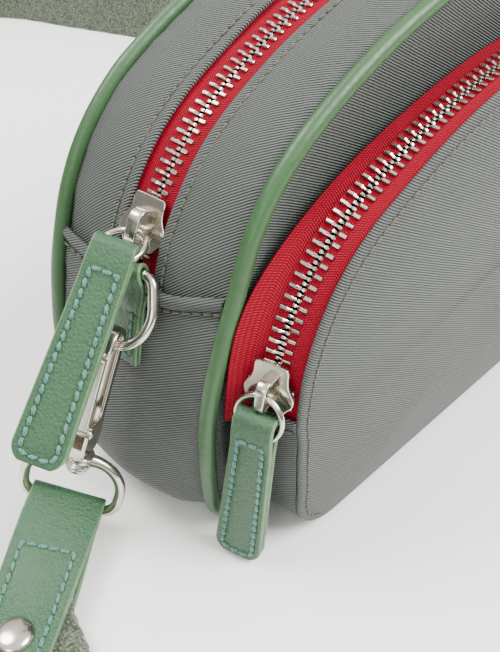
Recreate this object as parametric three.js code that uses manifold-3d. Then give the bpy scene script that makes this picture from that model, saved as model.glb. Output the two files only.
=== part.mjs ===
// Crossbody purse: a soft zipped case with a front pocket, end hardware and a webbing strap.
// Millimetres, +X along the bag, -Y to the front, +Z up. The origin is on the floor, in the
// middle of the main compartment.

import * as THREE from 'three';
import { mergeVertices } from 'three/addons/utils/BufferGeometryUtils.js';
import Module from 'manifold-3d';

const wasm = await Module();
wasm.setup();

// ---- Driving dimensions ----

const GAP = 0.3;                  // clearance between pieces that touch
const FABRIC = 1.3;               // padded twill, lining side included
const PADDED_FABRIC = 2;          // the lower gusset, with its padding
const MAIN_DEPTH = 57;            // between the centre planes of the two pipings
const PIPING_RADIUS = 2.1;

const MAIN_OUTLINE = {            // centreline of the pipings, seen from the front
  halfLength: 112,
  widestHeight: 30,
  sideRadius: 131,
  shoulderRadius: 57,
  topRadius: 158,
  topHeight: 125.6,
  cornerRadius: 14,
  bottomHeight: 2.6,
};

const POCKET_OUTLINE = {          // centreline of the pocket zip and pocket gusset
  halfLength: 101.5,
  widestHeight: 35,
  sideRadius: 135,
  shoulderRadius: 47,
  topRadius: 175,
  topHeight: 106.6,
  cornerRadius: 16,
  bottomHeight: 2.2,
};

const SEAM_HEIGHT = 66;           // where the upper gusset meets the lower gusset
const POCKET_SEAM_HEIGHT = 43;    // lower end of the pocket zip
const POCKET_REAR = -31.5;        // pocket gusset, edge at the main front panel
const POCKET_FRONT = -45.5;       // pocket gusset, edge at the pocket panel
const POCKET_FLARE = 2;           // extra spread of the edge sewn to the main panel
const POCKET_TILT = { low: 18, high: 10, slider: 15 };   // degrees the pocket zip faces forward
const PANEL_CROWN = 2.4;          // how far a padded panel swells beyond its edge

const ZIP = {
  opening: 6.5,                   // half of the visible tape
  tapeHalf: 12,
  tapeThickness: 0.7,
  sink: 1.2,                      // tape surface below the gusset surface
  toothInner: 0.6,
  toothOuter: 2.9,
  toothHeight: 2.4,
  stopLength: 2.6,
};

const SLIDER = {
  length: 13,
  width: 11,
  noseWidth: 8,
  plate: 1.1,
  clearance: 0.65,
  flange: 1.1,
  crownLength: 8.4,
  crownHeight: 4.5,
  crownWidth: 2.4,
  crownWall: 0.9,
  crownAt: -0.8,
  web: 0.4,
  mainHeight: 79.7,
  pocketHeight: 53.4,
};

const PULL = {
  topWidth: 10,
  endWidth: 12.8,
  leather: 1.5,
  gap: 0.5,
  slot: 5.2,
  endRadius: 4.4,
};
const PULL_RING = { radius: 5.75, wire: 0.75 };
const D_RING = {
  width: 17.4,
  drop: 16.2,
  contact: 18,
  wire: 1.3,
  barHeight: 68.4,
  standOff: 1.8,
  aside: -0.8,
  lowest: [118.3, -7.4, 57],
  across: [0.37, 0.92, -0.13],
};

const RING_TAB = { width: 13, neck: 5, leather: 1.1, bottomHeight: 46.5 };
const HOOK = {
  width: 9.2,
  thickness: 4.2,
  wall: 1.8,
  slack: 0.95,
  across: [0.45, 0.88, 0.05],
  gateHinge: 28,
  base: 32.5,
  postRadius: 1.7,
  headRadius: 2.9,
  headHeight: 1.5,
};
const BOW = { width: 24.6, corner: 2.6, wire: 1.4, boss: 3.6, bossRadius: 3.6 };
const STRAP_END = { width: 19.2, leather: 1.6, length: 47.5, rivet: 37.5 };
const WEBBING = { width: 38, thickness: 2.2, stubFrom: 23, stubOut: 14, twistLength: 95 };
const RIVET = { capRadius: 4.7, capHeight: 1.7, postRadius: 1.3, backHeight: 0.8 };
const ADJUSTER = { height: 46, length: 27, bar: 3, thickness: 2.4, slotHeight: 40, lift: 4.2, fromEnd: 132 };

// The strap's route over the floor, from the left end of the bag round behind it to the right: [x, y].
const STRAP_ROUTE = [
  [-213, -56], [-246, -68], [-285, -62], [-322, -32], [-345, 20], [-350, 90], [-335, 165],
  [-300, 232], [-245, 285], [-175, 322], [-95, 344], [-20, 352], [30, 346], [60, 325],
  [76, 290], [94, 247], [110, 208], [126, 169], [141, 130], [150, 95],
];
const ROUTE_STEPS = 60;

const STEP_ANGLE = 7 * Math.PI / 180;    // facet angle round the arcs
const SWING_STEP = 7;                    // degrees between the ring's places in a pull's slot
const UP = new THREE.Vector3(0, 0, 1);
const ALONG_Y = new THREE.Vector3(0, 1, 0);

// ---- Materials ----

const finish = (color, roughness, metalness) => () =>
  new THREE.MeshStandardMaterial({ color, roughness, metalness });
const twill = finish(0x8b8e88, 0.75, 0);
const liningCloth = finish(0x6f716d, 0.85, 0);
const board = finish(0x4a4a48, 0.8, 0);
const leather = finish(0x7c9c7d, 0.5, 0);
const tape = finish(0xc8223c, 0.8, 0);
const steel = finish(0xd6d3cc, 0.2, 1);
const woven = finish(0x7f8b70, 0.9, 0);

// ---- Solids ----

/** A closed solid from equal rings of points; `section` is the flat shape used for both ends. */
function solidFromRings(rings, section, loop = false) {
  const count = rings[0].length;
  const positions = rings.flat().flatMap((p) => [p.x, p.y, p.z]);
  const index = [];
  const spans = loop ? rings.length : rings.length - 1;
  for (let i = 0; i < spans; i += 1) {
    const here = i * count;
    const next = ((i + 1) % rings.length) * count;
    for (let j = 0; j < count; j += 1) {
      const k = (j + 1) % count;
      index.push(here + j, next + j, next + k);
      index.push(here + j, next + k, here + k);
    }
  }
  if (!loop) {
    const last = (rings.length - 1) * count;
    const clockwise = THREE.ShapeUtils.isClockWise(section);
    for (const [a, b, c] of THREE.ShapeUtils.triangulateShape(section, [])) {
      const [first, second] = clockwise ? [b, c] : [c, b];
      index.push(a, second, first);
      index.push(last + a, last + first, last + second);
    }
  }
  const geometry = new THREE.BufferGeometry();
  geometry.setAttribute('position', new THREE.Float32BufferAttribute(positions, 3));
  geometry.setIndex(index);
  return facingOut(geometry);
}

/** Signed volume of a closed geometry. */
function volumeOf(geometry) {
  const position = geometry.attributes.position;
  const index = geometry.index;
  const [a, b, c] = [new THREE.Vector3(), new THREE.Vector3(), new THREE.Vector3()];
  let sum = 0;
  for (let i = 0; i < index.count; i += 3) {
    a.fromBufferAttribute(position, index.getX(i));
    b.fromBufferAttribute(position, index.getX(i + 1));
    c.fromBufferAttribute(position, index.getX(i + 2));
    sum += a.dot(b.cross(c)) / 6;
  }
  return sum;
}

/** Turns every face over when the solid is inside out. */
function facingOut(geometry) {
  if (volumeOf(geometry) < 0) {
    const order = geometry.index.array;
    for (let i = 0; i < order.length; i += 3) {
      [order[i + 1], order[i + 2]] = [order[i + 2], order[i + 1]];
    }
  }
  return geometry;
}

function toManifold(geometry) {
  const plain = geometry.clone();
  plain.deleteAttribute('normal');
  plain.deleteAttribute('uv');
  const merged = mergeVertices(plain, 1e-4);
  return new wasm.Manifold(new wasm.Mesh({
    numProp: 3,
    vertProperties: new Float32Array(merged.attributes.position.array),
    triVerts: new Uint32Array(merged.index.array),
  }));
}

function fromManifold(solid) {
  const mesh = solid.getMesh();
  const geometry = new THREE.BufferGeometry();
  geometry.setAttribute('position', new THREE.BufferAttribute(new Float32Array(mesh.vertProperties), 3));
  geometry.setIndex(new THREE.BufferAttribute(new Uint32Array(mesh.triVerts), 1));
  return geometry;
}

function join(...pieces) {
  return fromManifold(pieces.map(toManifold).reduce((sum, piece) => sum.add(piece)));
}

function cut(body, ...tools) {
  return fromManifold(tools.map(toManifold).reduce((rest, tool) => rest.subtract(tool), toManifold(body)));
}

/** A flat outline in local X and Z, extruded along Y and centred on it. */
function slab(points, depth, holes = []) {
  const shape = new THREE.Shape(points.map(([x, z]) => new THREE.Vector2(x, z)));
  for (const hole of holes) {
    shape.holes.push(new THREE.Path(hole.map(([x, z]) => new THREE.Vector2(x, z))));
  }
  const geometry = new THREE.ExtrudeGeometry(shape, { depth, bevelEnabled: false });
  geometry.rotateX(Math.PI / 2);
  geometry.translate(0, depth / 2, 0);
  return geometry;
}

function block(width, depth, height, x = 0, y = 0, z = 0) {
  return new THREE.BoxGeometry(width, depth, height).translate(x, y, z);
}

/** Points of an arc about (x, z), angles in degrees from +X towards +Z. */
function arcPoints(x, z, radius, from, to, count) {
  return Array.from({ length: count + 1 }, (_, i) => {
    const angle = THREE.MathUtils.degToRad(from + (to - from) * i / count);
    return [x + radius * Math.cos(angle), z + radius * Math.sin(angle)];
  });
}

/** A round wire through points that lie in local Y and Z and close on themselves. */
function wireLoop(points, radius, sides = 8) {
  const rings = points.map(([y, z], i) => {
    const before = points[(i + points.length - 1) % points.length];
    const after = points[(i + 1) % points.length];
    const along = new THREE.Vector3(0, after[0] - before[0], after[1] - before[1]).normalize();
    const side = new THREE.Vector3().crossVectors(along, new THREE.Vector3(1, 0, 0));
    return roundSection(new THREE.Vector3(0, y, z), side, new THREE.Vector3(1, 0, 0), radius, sides);
  });
  return solidFromRings(rings, null, true);
}

function roundSection(centre, side, up, radius, sides) {
  return Array.from({ length: sides }, (_, i) => {
    const angle = 2 * Math.PI * (i + 0.5) / sides;
    return centre.clone()
      .addScaledVector(side, radius * Math.cos(angle))
      .addScaledVector(up, radius * Math.sin(angle));
  });
}

/** A flat band through stations of { point, across, width }, of one thickness. */
function ribbon(stations, thickness) {
  const rings = stations.map(({ point, across, width }, i) => {
    const before = stations[Math.max(i - 1, 0)].point;
    const after = stations[Math.min(i + 1, stations.length - 1)].point;
    const along = after.clone().sub(before).normalize();
    const side = across.clone().addScaledVector(along, -across.dot(along)).normalize();
    const normal = new THREE.Vector3().crossVectors(along, side);
    return [[-1, -1], [1, -1], [1, 1], [-1, 1]].map(([s, n]) => point.clone()
      .addScaledVector(side, s * width / 2)
      .addScaledVector(normal, n * thickness / 2));
  });
  const square = [[-1, -1], [1, -1], [1, 1], [-1, 1]].map(([x, y]) => new THREE.Vector2(x, y));
  return solidFromRings(rings, square);
}

// ---- Outlines ----

/** A closed outline of tangent arcs, walked from the bottom middle to -X, up, over and back. */
class Outline {
  constructor(size) {
    const side = [-size.halfLength + size.sideRadius, size.widestHeight];
    const top = [0, size.topHeight - size.topRadius];
    const shoulder = Outline.innerCentre(side, size.sideRadius, top, size.topRadius, size.shoulderRadius);
    const cornerHeight = size.bottomHeight + size.cornerRadius;
    const reach = Math.sqrt((size.sideRadius - size.cornerRadius) ** 2 - (side[1] - cornerHeight) ** 2);
    const corner = [side[0] - reach, cornerHeight];
    const cornerEnd = Outline.direction(side, corner);
    const sideEnd = Outline.direction(side, shoulder);
    const shoulderEnd = Outline.direction(top, shoulder);
    const half = [
      { centre: corner, radius: size.cornerRadius, from: -Math.PI / 2, to: cornerEnd },
      { centre: side, radius: size.sideRadius, from: cornerEnd, to: sideEnd },
      { centre: shoulder, radius: size.shoulderRadius, from: sideEnd, to: shoulderEnd },
      { centre: top, radius: size.topRadius, from: shoulderEnd, to: Math.PI / 2 },
    ];
    const other = half.toReversed().map((arc) => ({
      centre: [-arc.centre[0], arc.centre[1]],
      radius: arc.radius,
      from: Math.PI - arc.to,
      to: Math.PI - arc.from,
    }));
    const flat = { line: corner[0], height: size.bottomHeight };
    this.shoulder = shoulder;
    this.pieces = [
      { ...flat, length: -corner[0], start: 0 },
      ...[...half, ...other].map((arc) => ({ ...arc, length: arc.radius * (arc.to - arc.from) })),
      { ...flat, length: -corner[0], start: -corner[0] },
    ];
    this.length = this.pieces.reduce((sum, piece) => sum + piece.length, 0);
  }

  /** Centre of a circle that touches two larger circles from inside, on their -X side. */
  static innerCentre(a, radiusA, b, radiusB, radius) {
    const [dx, dz] = [a[0] - b[0], a[1] - b[1]];
    const apart = Math.hypot(dx, dz);
    const reachB = radiusB - radius;
    const along = (reachB ** 2 - (radiusA - radius) ** 2 + apart ** 2) / (2 * apart);
    const off = Math.sqrt(reachB ** 2 - along ** 2);
    return [b[0] + (along * dx - off * dz) / apart, b[1] + (along * dz + off * dx) / apart];
  }

  /** Outward angle of one point seen from another: 0 is -X, a quarter turn is +Z. */
  static direction(from, to) {
    return Math.atan2(to[1] - from[1], from[0] - to[0]);
  }

  /** Point, outward normal and direction of travel at a distance, moved out by `offset`. */
  at(distance, offset = 0) {
    let rest = Math.min(Math.max(distance, 0), this.length);
    let piece = this.pieces[0];
    for (piece of this.pieces) {
      if (rest <= piece.length) break;
      rest -= piece.length;
    }
    rest = Math.min(rest, piece.length);
    if (piece.radius === undefined) {
      const x = piece.start - rest;
      return { x, z: piece.height - offset, nx: 0, nz: -1 };
    }
    const angle = piece.from + rest / piece.radius;
    const [nx, nz] = [-Math.cos(angle), Math.sin(angle)];
    const radius = piece.radius + offset;
    return { x: piece.centre[0] + nx * radius, z: piece.centre[1] + nz * radius, nx, nz };
  }

  /** Distance along the -X half at which the outline reaches a height. */
  atHeight(height) {
    let [low, high] = [0, this.length / 2];
    for (let i = 0; i < 40; i += 1) {
      const middle = (low + high) / 2;
      if (this.at(middle).z < height) low = middle;
      else high = middle;
    }
    return low;
  }

  /** Distances between two limits, close enough for the arcs. */
  stations(from, to) {
    const list = [from];
    let start = 0;
    for (const piece of this.pieces) {
      const steps = piece.radius ? Math.ceil((piece.to - piece.from) / STEP_ANGLE) : 1;
      for (let i = 1; i <= steps; i += 1) {
        const distance = start + piece.length * i / steps;
        if (distance > from + 1 && distance < to - 1) list.push(distance);
      }
      start += piece.length;
    }
    return [...list, to];
  }

  /** A point in space at a distance, moved out by `offset` and along Y. */
  point(distance, y, offset) {
    const here = this.at(distance, offset);
    return new THREE.Vector3(here.x, y, here.z);
  }

  /** Axes at a distance: X along the outline, Y along Y, Z outward. */
  frame(distance, y, offset) {
    const here = this.at(distance, offset);
    const outward = new THREE.Vector3(here.nx, 0, here.nz);
    const along = new THREE.Vector3().crossVectors(ALONG_Y, outward);
    const matrix = new THREE.Matrix4().makeBasis(along, ALONG_Y, outward);
    return matrix.setPosition(here.x, y, here.z);
  }
}

/** A solid band that follows an outline; section(distance) gives its [y, offset] corners. */
function band(outline, from, to, section) {
  const rings = outline.stations(from, to).map((distance) =>
    section(distance).map(([y, offset]) => outline.point(distance, y, offset)));
  return solidFromRings(rings, section(from).map(([y, offset]) => new THREE.Vector2(y, offset)));
}

/** A padded panel inside an outline; levels are [y, offset] pairs from back to front. */
function panel(outline, levels, spread = () => 0) {
  const distances = outline.stations(0, outline.length).slice(0, -1);
  const rings = levels.map(([y, offset]) =>
    distances.map((distance) => outline.point(distance, y, offset + spread(distance))));
  return solidFromRings(rings, rings[0].map((p) => new THREE.Vector2(p.x, p.z)));
}

/** Section of a sheet: the top line from one edge to the other, and the same line lower down. */
function sheetSection(ys, height, thickness) {
  const top = ys.map((y) => [y, height(y)]);
  const under = ys.toReversed().map((y) => [y, height(y) - thickness]);
  return [...top, ...under];
}

const main = new Outline(MAIN_OUTLINE);
const pocket = new Outline(POCKET_OUTLINE);
const seam = main.atHeight(SEAM_HEIGHT);
const pocketSeam = pocket.atHeight(POCKET_SEAM_HEIGHT);

// ---- Building the scene ----

const purse = new THREE.Group();

function place(name, geometry, material, parent = purse) {
  const mesh = new THREE.Mesh(geometry, material());
  mesh.name = name;
  parent.add(mesh);
  return mesh;
}

/** A group with its own axes; a moving piece turns about the origin of its group. */
function groupAt(matrix) {
  const group = new THREE.Group();
  group.applyMatrix4(matrix);
  group.updateMatrix();
  purse.add(group);
  return group;
}

/** How far the gusset stands out from the piping centreline: flat on the floor below. */
function gussetRise(distance, y) {
  const edge = MAIN_DEPTH / 2 - PIPING_RADIUS;
  const low = 1 - THREE.MathUtils.smoothstep(main.at(distance).z, 3, 40);
  const middle = THREE.MathUtils.lerp(0.5, MAIN_OUTLINE.bottomHeight, low);
  const flatHalf = THREE.MathUtils.lerp(edge / 2, edge - 8, low);
  const towardEdge = THREE.MathUtils.smoothstep(Math.abs(y), flatHalf, edge);
  return middle * (1 - towardEdge);
}

const zipSurface = () => -ZIP.sink;

function addShell() {
  const edge = MAIN_DEPTH / 2 - PIPING_RADIUS - GAP;
  const inside = -(PIPING_RADIUS + GAP);
  const panelLevels = (side, crown) => [
    [side * (MAIN_DEPTH / 2 - 1), inside],
    [side * (MAIN_DEPTH / 2 + 1), inside],
    [side * (MAIN_DEPTH / 2 + 1 + crown), inside - 16],
  ];
  place('rear_panel', panel(main, panelLevels(1, PANEL_CROWN)), twill);
  place('front_panel', panel(main, panelLevels(-1, 0.6)), twill);
  const splice = 0.4;
  for (const [name, side] of [['rear_piping', 1], ['front_piping', -1]]) {
    const section = () => arcPoints(side * MAIN_DEPTH / 2, 0, PIPING_RADIUS, 22.5, 337.5, 7);
    place(name, band(main, splice, main.length - splice, section), leather);
  }
  const across = [-edge, -edge + 8, -edge / 2, edge / 2, edge - 8, edge];
  const lower = (distance) => sheetSection(across, (y) => gussetRise(distance, y), PADDED_FABRIC);
  place('lower_gusset', lowerBand(main, seam - GAP, lower), twill);
  for (const [name, side] of [['upper_gusset_rear', 1], ['upper_gusset_front', -1]]) {
    const ys = [ZIP.opening, edge / 2, edge - 8, edge].map((y) => side * y);
    const strip = (distance) => sheetSection(ys, (y) => gussetRise(distance, y) + 0.2, FABRIC - 0.5);
    place(name, band(main, seam, main.length - seam, strip), twill);
  }
}

/** A band from one end's seam, down under the bag and up to the other end's seam. */
function lowerBand(outline, top, section) {
  const downLeft = outline.stations(0, top).toReversed();
  const upRight = outline.stations(outline.length - top, outline.length).toReversed();
  const distances = [...downLeft, ...upRight.slice(1)];
  const rings = distances.map((distance) =>
    section(distance).map(([y, offset]) => outline.point(distance, y, offset)));
  return solidFromRings(rings, section(top).map(([y, offset]) => new THREE.Vector2(y, offset)));
}

function addInside() {
  const boardThickness = 1.5;
  const floorTop = MAIN_OUTLINE.bottomHeight + PADDED_FABRIC - FABRIC;
  const boardHeight = floorTop + 2 * GAP + boardThickness / 2;
  place('base_board', block(180, 46, boardThickness, 0, 0, boardHeight), board);
  const wall = 0.5;
  const liningY = MAIN_DEPTH / 2 - 3;
  const liningOffset = -5.2;
  for (const [name, side] of [['lining_rear', 1], ['lining_front', -1]]) {
    const levels = [[side * (liningY - wall), liningOffset], [side * liningY, liningOffset]];
    place(name, panel(main, levels), liningCloth);
  }
  const ys = [-(liningY - wall - GAP), liningY - wall - GAP];
  const section = () => sheetSection(ys, () => liningOffset, wall);
  place('lining_gusset', lowerBand(main, seam - 4, section), liningCloth);
  const pocketY = liningY - wall - GAP - 0.5;
  place('slip_pocket', block(130, 0.8, 60, 0, pocketY, 48), liningCloth);
}

/** Two tapes, two rows of teeth and the stops of one zip; it is closed at its -X end. */
function addZip(prefix, outline, middle, tapeHalf, seamAt, surface) {
  const from = seamAt + 0.5;
  const to = outline.length - from;
  const stopAt = from + 1.2;
  const teethFrom = stopAt + ZIP.stopLength + GAP;
  const toothTop = (ZIP.toothHeight - ZIP.tapeThickness) / 2;
  const metalSection = (low, high) => (distance) =>
    sheetSection([low, high], (y) => surface(distance, y) + toothTop, ZIP.toothHeight);
  for (const [name, side] of [['rear', 1], ['front', -1]]) {
    const inner = middle + side * (ZIP.toothOuter + GAP);
    const outer = middle + side * tapeHalf;
    const ys = [inner, inner + 0.7 * (outer - inner), outer];
    const tapeSection = (distance) => sheetSection(ys, (y) => surface(distance, y), ZIP.tapeThickness);
    place(`${prefix}_tape_${name}`, band(outline, from, to, tapeSection), tape);
    const metal = metalSection(middle + side * ZIP.toothInner, middle + side * ZIP.toothOuter);
    const teeth = band(outline, teethFrom, outline.length - teethFrom, metal);
    place(`${prefix}_teeth_${name}`, teeth, steel);
    place(`${prefix}_top_stop_${name}`, band(outline, stopAt, teethFrom - GAP, metal), steel);
  }
  const both = metalSection(middle - ZIP.toothOuter, middle + ZIP.toothOuter);
  const bottomStop = band(outline, outline.length - teethFrom + GAP, outline.length - stopAt, both);
  place(`${prefix}_bottom_stop`, bottomStop, steel);
}

/** Slider body in its own axes: X along the zip, Z outward, the tape on Z zero. */
function sliderBody() {
  const half = SLIDER.length / 2;
  const wing = SLIDER.width / 2;
  const nose = SLIDER.noseWidth / 2;
  const toothTop = ZIP.toothHeight / 2;
  const plan = [
    [half, nose], [half - 3, nose], [-half * 0.2, wing], [-half * 0.7, wing], [-half, wing - 1.8],
    [-half, -wing + 1.8], [-half * 0.7, -wing], [-half * 0.2, -wing], [half - 3, -nose], [half, -nose],
  ];
  const topLow = toothTop + SLIDER.clearance;
  const bottomTop = -toothTop - 3 * SLIDER.clearance;
  const top = flatPlate(plan, SLIDER.plate).translate(0, 0, topLow);
  const bottom = flatPlate(plan, SLIDER.plate).translate(0, 0, bottomTop - SLIDER.plate);
  const web = block(4, SLIDER.web, topLow - bottomTop + SLIDER.plate, half - 3, 0, (topLow + bottomTop) / 2);
  const flangeAt = (side) => block(5, SLIDER.flange, 1.1, -2.5, side * (nose + GAP), topLow);
  const crownHalf = SLIDER.crownLength / 2;
  const crownOutline = [
    [crownHalf, 0],
    ...arcPoints(crownHalf - 3, SLIDER.crownHeight - 3, 3, 0, 90, 3),
    ...arcPoints(-crownHalf + 2.6, SLIDER.crownHeight - 2.6, 2.6, 90, 180, 3),
    [-crownHalf, 0],
  ];
  const holeHalf = crownHalf - SLIDER.crownWall;
  const holeTop = SLIDER.crownHeight - SLIDER.crownWall;
  const hole = [
    [holeHalf, 0.2], [holeHalf, holeTop - 0.8], [holeHalf - 1, holeTop],
    [-holeHalf + 0.3, holeTop], [-holeHalf, holeTop - 0.3], [-holeHalf, 0.2],
  ];
  const crownBase = topLow + SLIDER.plate - 0.1;
  const crown = slab(crownOutline, SLIDER.crownWidth, [hole]).translate(SLIDER.crownAt, 0, crownBase);
  return {
    geometry: join(top, bottom, web, flangeAt(1), flangeAt(-1), crown),
    ringSeat: new THREE.Vector3(
      SLIDER.crownAt - holeHalf + PULL_RING.wire + GAP, 0, crownBase + holeTop - PULL_RING.wire - GAP),
  };
}

/** A plate in local X and Y with its underside on Z zero. */
function flatPlate(points, height) {
  const shape = new THREE.Shape(points.map(([x, y]) => new THREE.Vector2(x, y)));
  return new THREE.ExtrudeGeometry(shape, { depth: height, bevelEnabled: false });
}

/** Slider, ring and pull. The slider turns about the centre of the outline's shoulder arc. */
function addSlider(prefix, outline, middle, frame, hang) {
  const pivot = new THREE.Vector3(outline.shoulder[0], middle, outline.shoulder[1]);
  const slider = groupAt(new THREE.Matrix4().setPosition(pivot));
  const { geometry, ringSeat } = sliderBody();
  const toPivot = new THREE.Matrix4().setPosition(pivot).invert();
  place(`${prefix}_slider`, geometry.applyMatrix4(frame).applyMatrix4(toPivot), steel, slider);

  const seat = ringSeat.add(new THREE.Vector3(hang.seat, 0, -GAP)).applyMatrix4(frame);
  const across = new THREE.Vector3().setFromMatrixColumn(frame, 1);
  const ring = groupAt(hangingFrame(seat, hang.ringWay, across));
  const circle = arcPoints(0, -PULL_RING.radius, PULL_RING.radius, 0, 337.5, 15);
  place(`${prefix}_pull_ring`, wireLoop(circle, PULL_RING.wire, 6), steel, ring);

  const round = THREE.MathUtils.degToRad(hang.roundRing);
  const onRing = new THREE.Vector3(
    0, -PULL_RING.radius * Math.sin(round), -PULL_RING.radius * (1 + Math.cos(round)));
  const wireAt = onRing.applyMatrix4(ring.matrix);
  const pull = groupAt(hangingFrame(wireAt, hang.pullWay, hang.foldAxis));
  const wireRoom = (degrees) => wireLoop(circle, PULL_RING.wire + GAP, 8)
    .applyMatrix4(ring.matrix).applyMatrix4(pull.matrix.clone().invert())
    .rotateY(-THREE.MathUtils.degToRad(degrees));
  const steps = Math.ceil((hang.swing[1] - hang.swing[0]) / SWING_STEP);
  const swings = Array.from({ length: steps + 1 }, (_, i) =>
    THREE.MathUtils.lerp(hang.swing[0], hang.swing[1], i / steps));
  const folded = foldedPull(hang.length, hang.slack);
  place(`${prefix}_pull_leather`, cut(folded, ...[0, ...swings].map(wireRoom)), leather, pull);
}

/** A strip folded over a wire at the origin, hanging along -Z, its bend `slack` above the wire. */
function foldedPull(length, slack) {
  const bend = PULL_RING.wire + GAP + PULL.leather / 2;
  const leg = (PULL.gap + PULL.leather) / 2;
  const top = slack + bend + PULL.leather / 2;
  const end = top - length;
  const endCurve = [25, 50, 70, 84].map((angle) =>
    end + PULL.endRadius * (1 - Math.sin(THREE.MathUtils.degToRad(angle))));
  const spread = (z) => THREE.MathUtils.lerp(leg, bend, THREE.MathUtils.smoothstep(z, slack - 8.5, slack - PULL.slot));
  const heights = [slack - PULL.slot, slack - 7, slack - 8.5, end + PULL.endRadius, ...endCurve];
  const legs = (side) => heights.map((z) => [side * spread(z), z]);
  const fold = arcPoints(0, slack, bend, 0, 180, 6);
  const path = [...legs(1).toReversed(), ...fold, ...legs(-1)];
  const stations = path.map(([x, z]) =>
    ({ point: new THREE.Vector3(x, 0, z), across: ALONG_Y, width: pullWidth(z, top, end) }));
  return ribbon(stations, PULL.leather);
}

/** Width of a pull at a height: it widens toward its end, which has round corners. */
function pullWidth(z, top, end) {
  const straight = THREE.MathUtils.lerp(PULL.endWidth, PULL.topWidth, (z - end) / (top - end));
  const drop = Math.max(end + PULL.endRadius - z, 0);
  return straight - 2 * PULL.endRadius + 2 * Math.sqrt(PULL.endRadius ** 2 - drop ** 2);
}

/** How far the pocket's edges stand from its centreline: its ends face a little forward. */
function pocketSpread(distance, y) {
  const middle = (POCKET_REAR + POCKET_FRONT) / 2;
  const height = pocket.at(distance).z;
  const low = THREE.MathUtils.smoothstep(height, 3, 24);
  const climb = THREE.MathUtils.smoothstep(height, 62, 90);
  const over = 1 - THREE.MathUtils.smoothstep(height, 90, 104);
  const tilt = Math.tan(THREE.MathUtils.degToRad(THREE.MathUtils.lerp(POCKET_TILT.low, POCKET_TILT.high, climb)));
  const edge = Math.max((y - middle - 5) / (POCKET_REAR - middle - 5), 0);
  return low * over * (tilt * (y - middle) + POCKET_FLARE * (1 - climb) * edge);
}

function addPocket() {
  const middle = (POCKET_REAR + POCKET_FRONT) / 2;
  const half = (POCKET_REAR - POCKET_FRONT) / 2;
  const ys = [POCKET_REAR, middle + 5, middle, POCKET_FRONT];
  const gusset = (distance) => sheetSection(ys, (y) => pocketSpread(distance, y), FABRIC);
  place('pocket_gusset', lowerBand(pocket, pocketSeam - GAP, gusset), twill);
  const levels = [[POCKET_FRONT - GAP, 0], [POCKET_FRONT - 1.6, 0], [POCKET_FRONT - 1.6 - PANEL_CROWN, -12]];
  place('pocket_panel', panel(pocket, levels, (distance) => pocketSpread(distance, POCKET_FRONT)), twill);
  const surface = (distance, y) => pocketSpread(distance, y) - 0.4;
  addZip('pocket', pocket, middle, half, pocketSeam, surface);
}

/** Leather loop sewn to an end of the gusset, and the ring that hangs in it. */
function addRing(name, side) {
  const distance = main.atHeight(D_RING.barHeight);
  const along = side < 0 ? distance : main.length - distance;
  const surface = gussetRise(distance, 0) + 0.2 + GAP;
  const bore = D_RING.wire + GAP;
  const outer = bore + RING_TAB.leather;
  const standOff = surface + outer + D_RING.standOff;
  const tabHalf = RING_TAB.width / 2;
  const tailTop = (d) => gussetRise(d, 0) + 0.2 + GAP + 2 * RING_TAB.leather;
  const tail = (d) => sheetSection([-tabHalf, tabHalf], () => tailTop(d), 2 * RING_TAB.leather);
  const low = main.atHeight(RING_TAB.bottomHeight);
  const high = distance - outer - 0.8;
  const strip = side < 0 ? band(main, low, high, tail) : band(main, main.length - high, main.length - low, tail);
  const bar = main.point(along, D_RING.aside, standOff);
  const across = new THREE.Vector3(side * D_RING.across[0], D_RING.across[1], D_RING.across[2]);
  const lowest = new THREE.Vector3(side * D_RING.lowest[0], D_RING.lowest[1], D_RING.lowest[2]);
  const hang = lowest.sub(bar).normalize();
  const ringFrame = hangingFrame(bar, hang, across);
  const around = (radius) => arcPoints(0, 0, radius, 0, 330, 11);
  const loop = slab(around(outer), RING_TAB.width, [around(bore).toReversed()]).applyMatrix4(ringFrame);
  const neckLength = outer - bore + 1.8;
  const neck = block(neckLength, RING_TAB.neck, standOff - surface, side * (bore + 0.65 + neckLength / 2), 0,
    (standOff + surface) / 2 + 0.2).applyMatrix4(main.frame(along, 0, 0));
  place(`ring_tab_${name}`, join(strip, neck, loop), leather);

  const ring = groupAt(ringFrame);
  const half = D_RING.width / 2;
  const corner = 1.6;
  const path = [
    ...arcPoints(half - corner, -corner, corner, 90, 0, 3),
    ...arcPoints(0, half - D_RING.drop, half, 0, -180, 12),
    ...arcPoints(corner - half, -corner, corner, 180, 90, 3),
  ];
  place(`d_ring_${name}`, wireLoop(path, D_RING.wire), steel, ring);
  const contact = THREE.MathUtils.degToRad(D_RING.contact);
  return new THREE.Vector3(0, half * Math.sin(contact), half - D_RING.drop - half * Math.cos(contact))
    .applyMatrix4(ringFrame);
}

/** Axes at a point: Z against the way a piece hangs, Y as near `across` as it can be. */
function hangingFrame(origin, way, across) {
  const up = way.clone().normalize().negate();
  const side = across.clone().addScaledVector(up, -across.dot(up)).normalize();
  const outward = new THREE.Vector3().crossVectors(side, up);
  return new THREE.Matrix4().makeBasis(outward, side, up).setPosition(origin);
}

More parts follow.
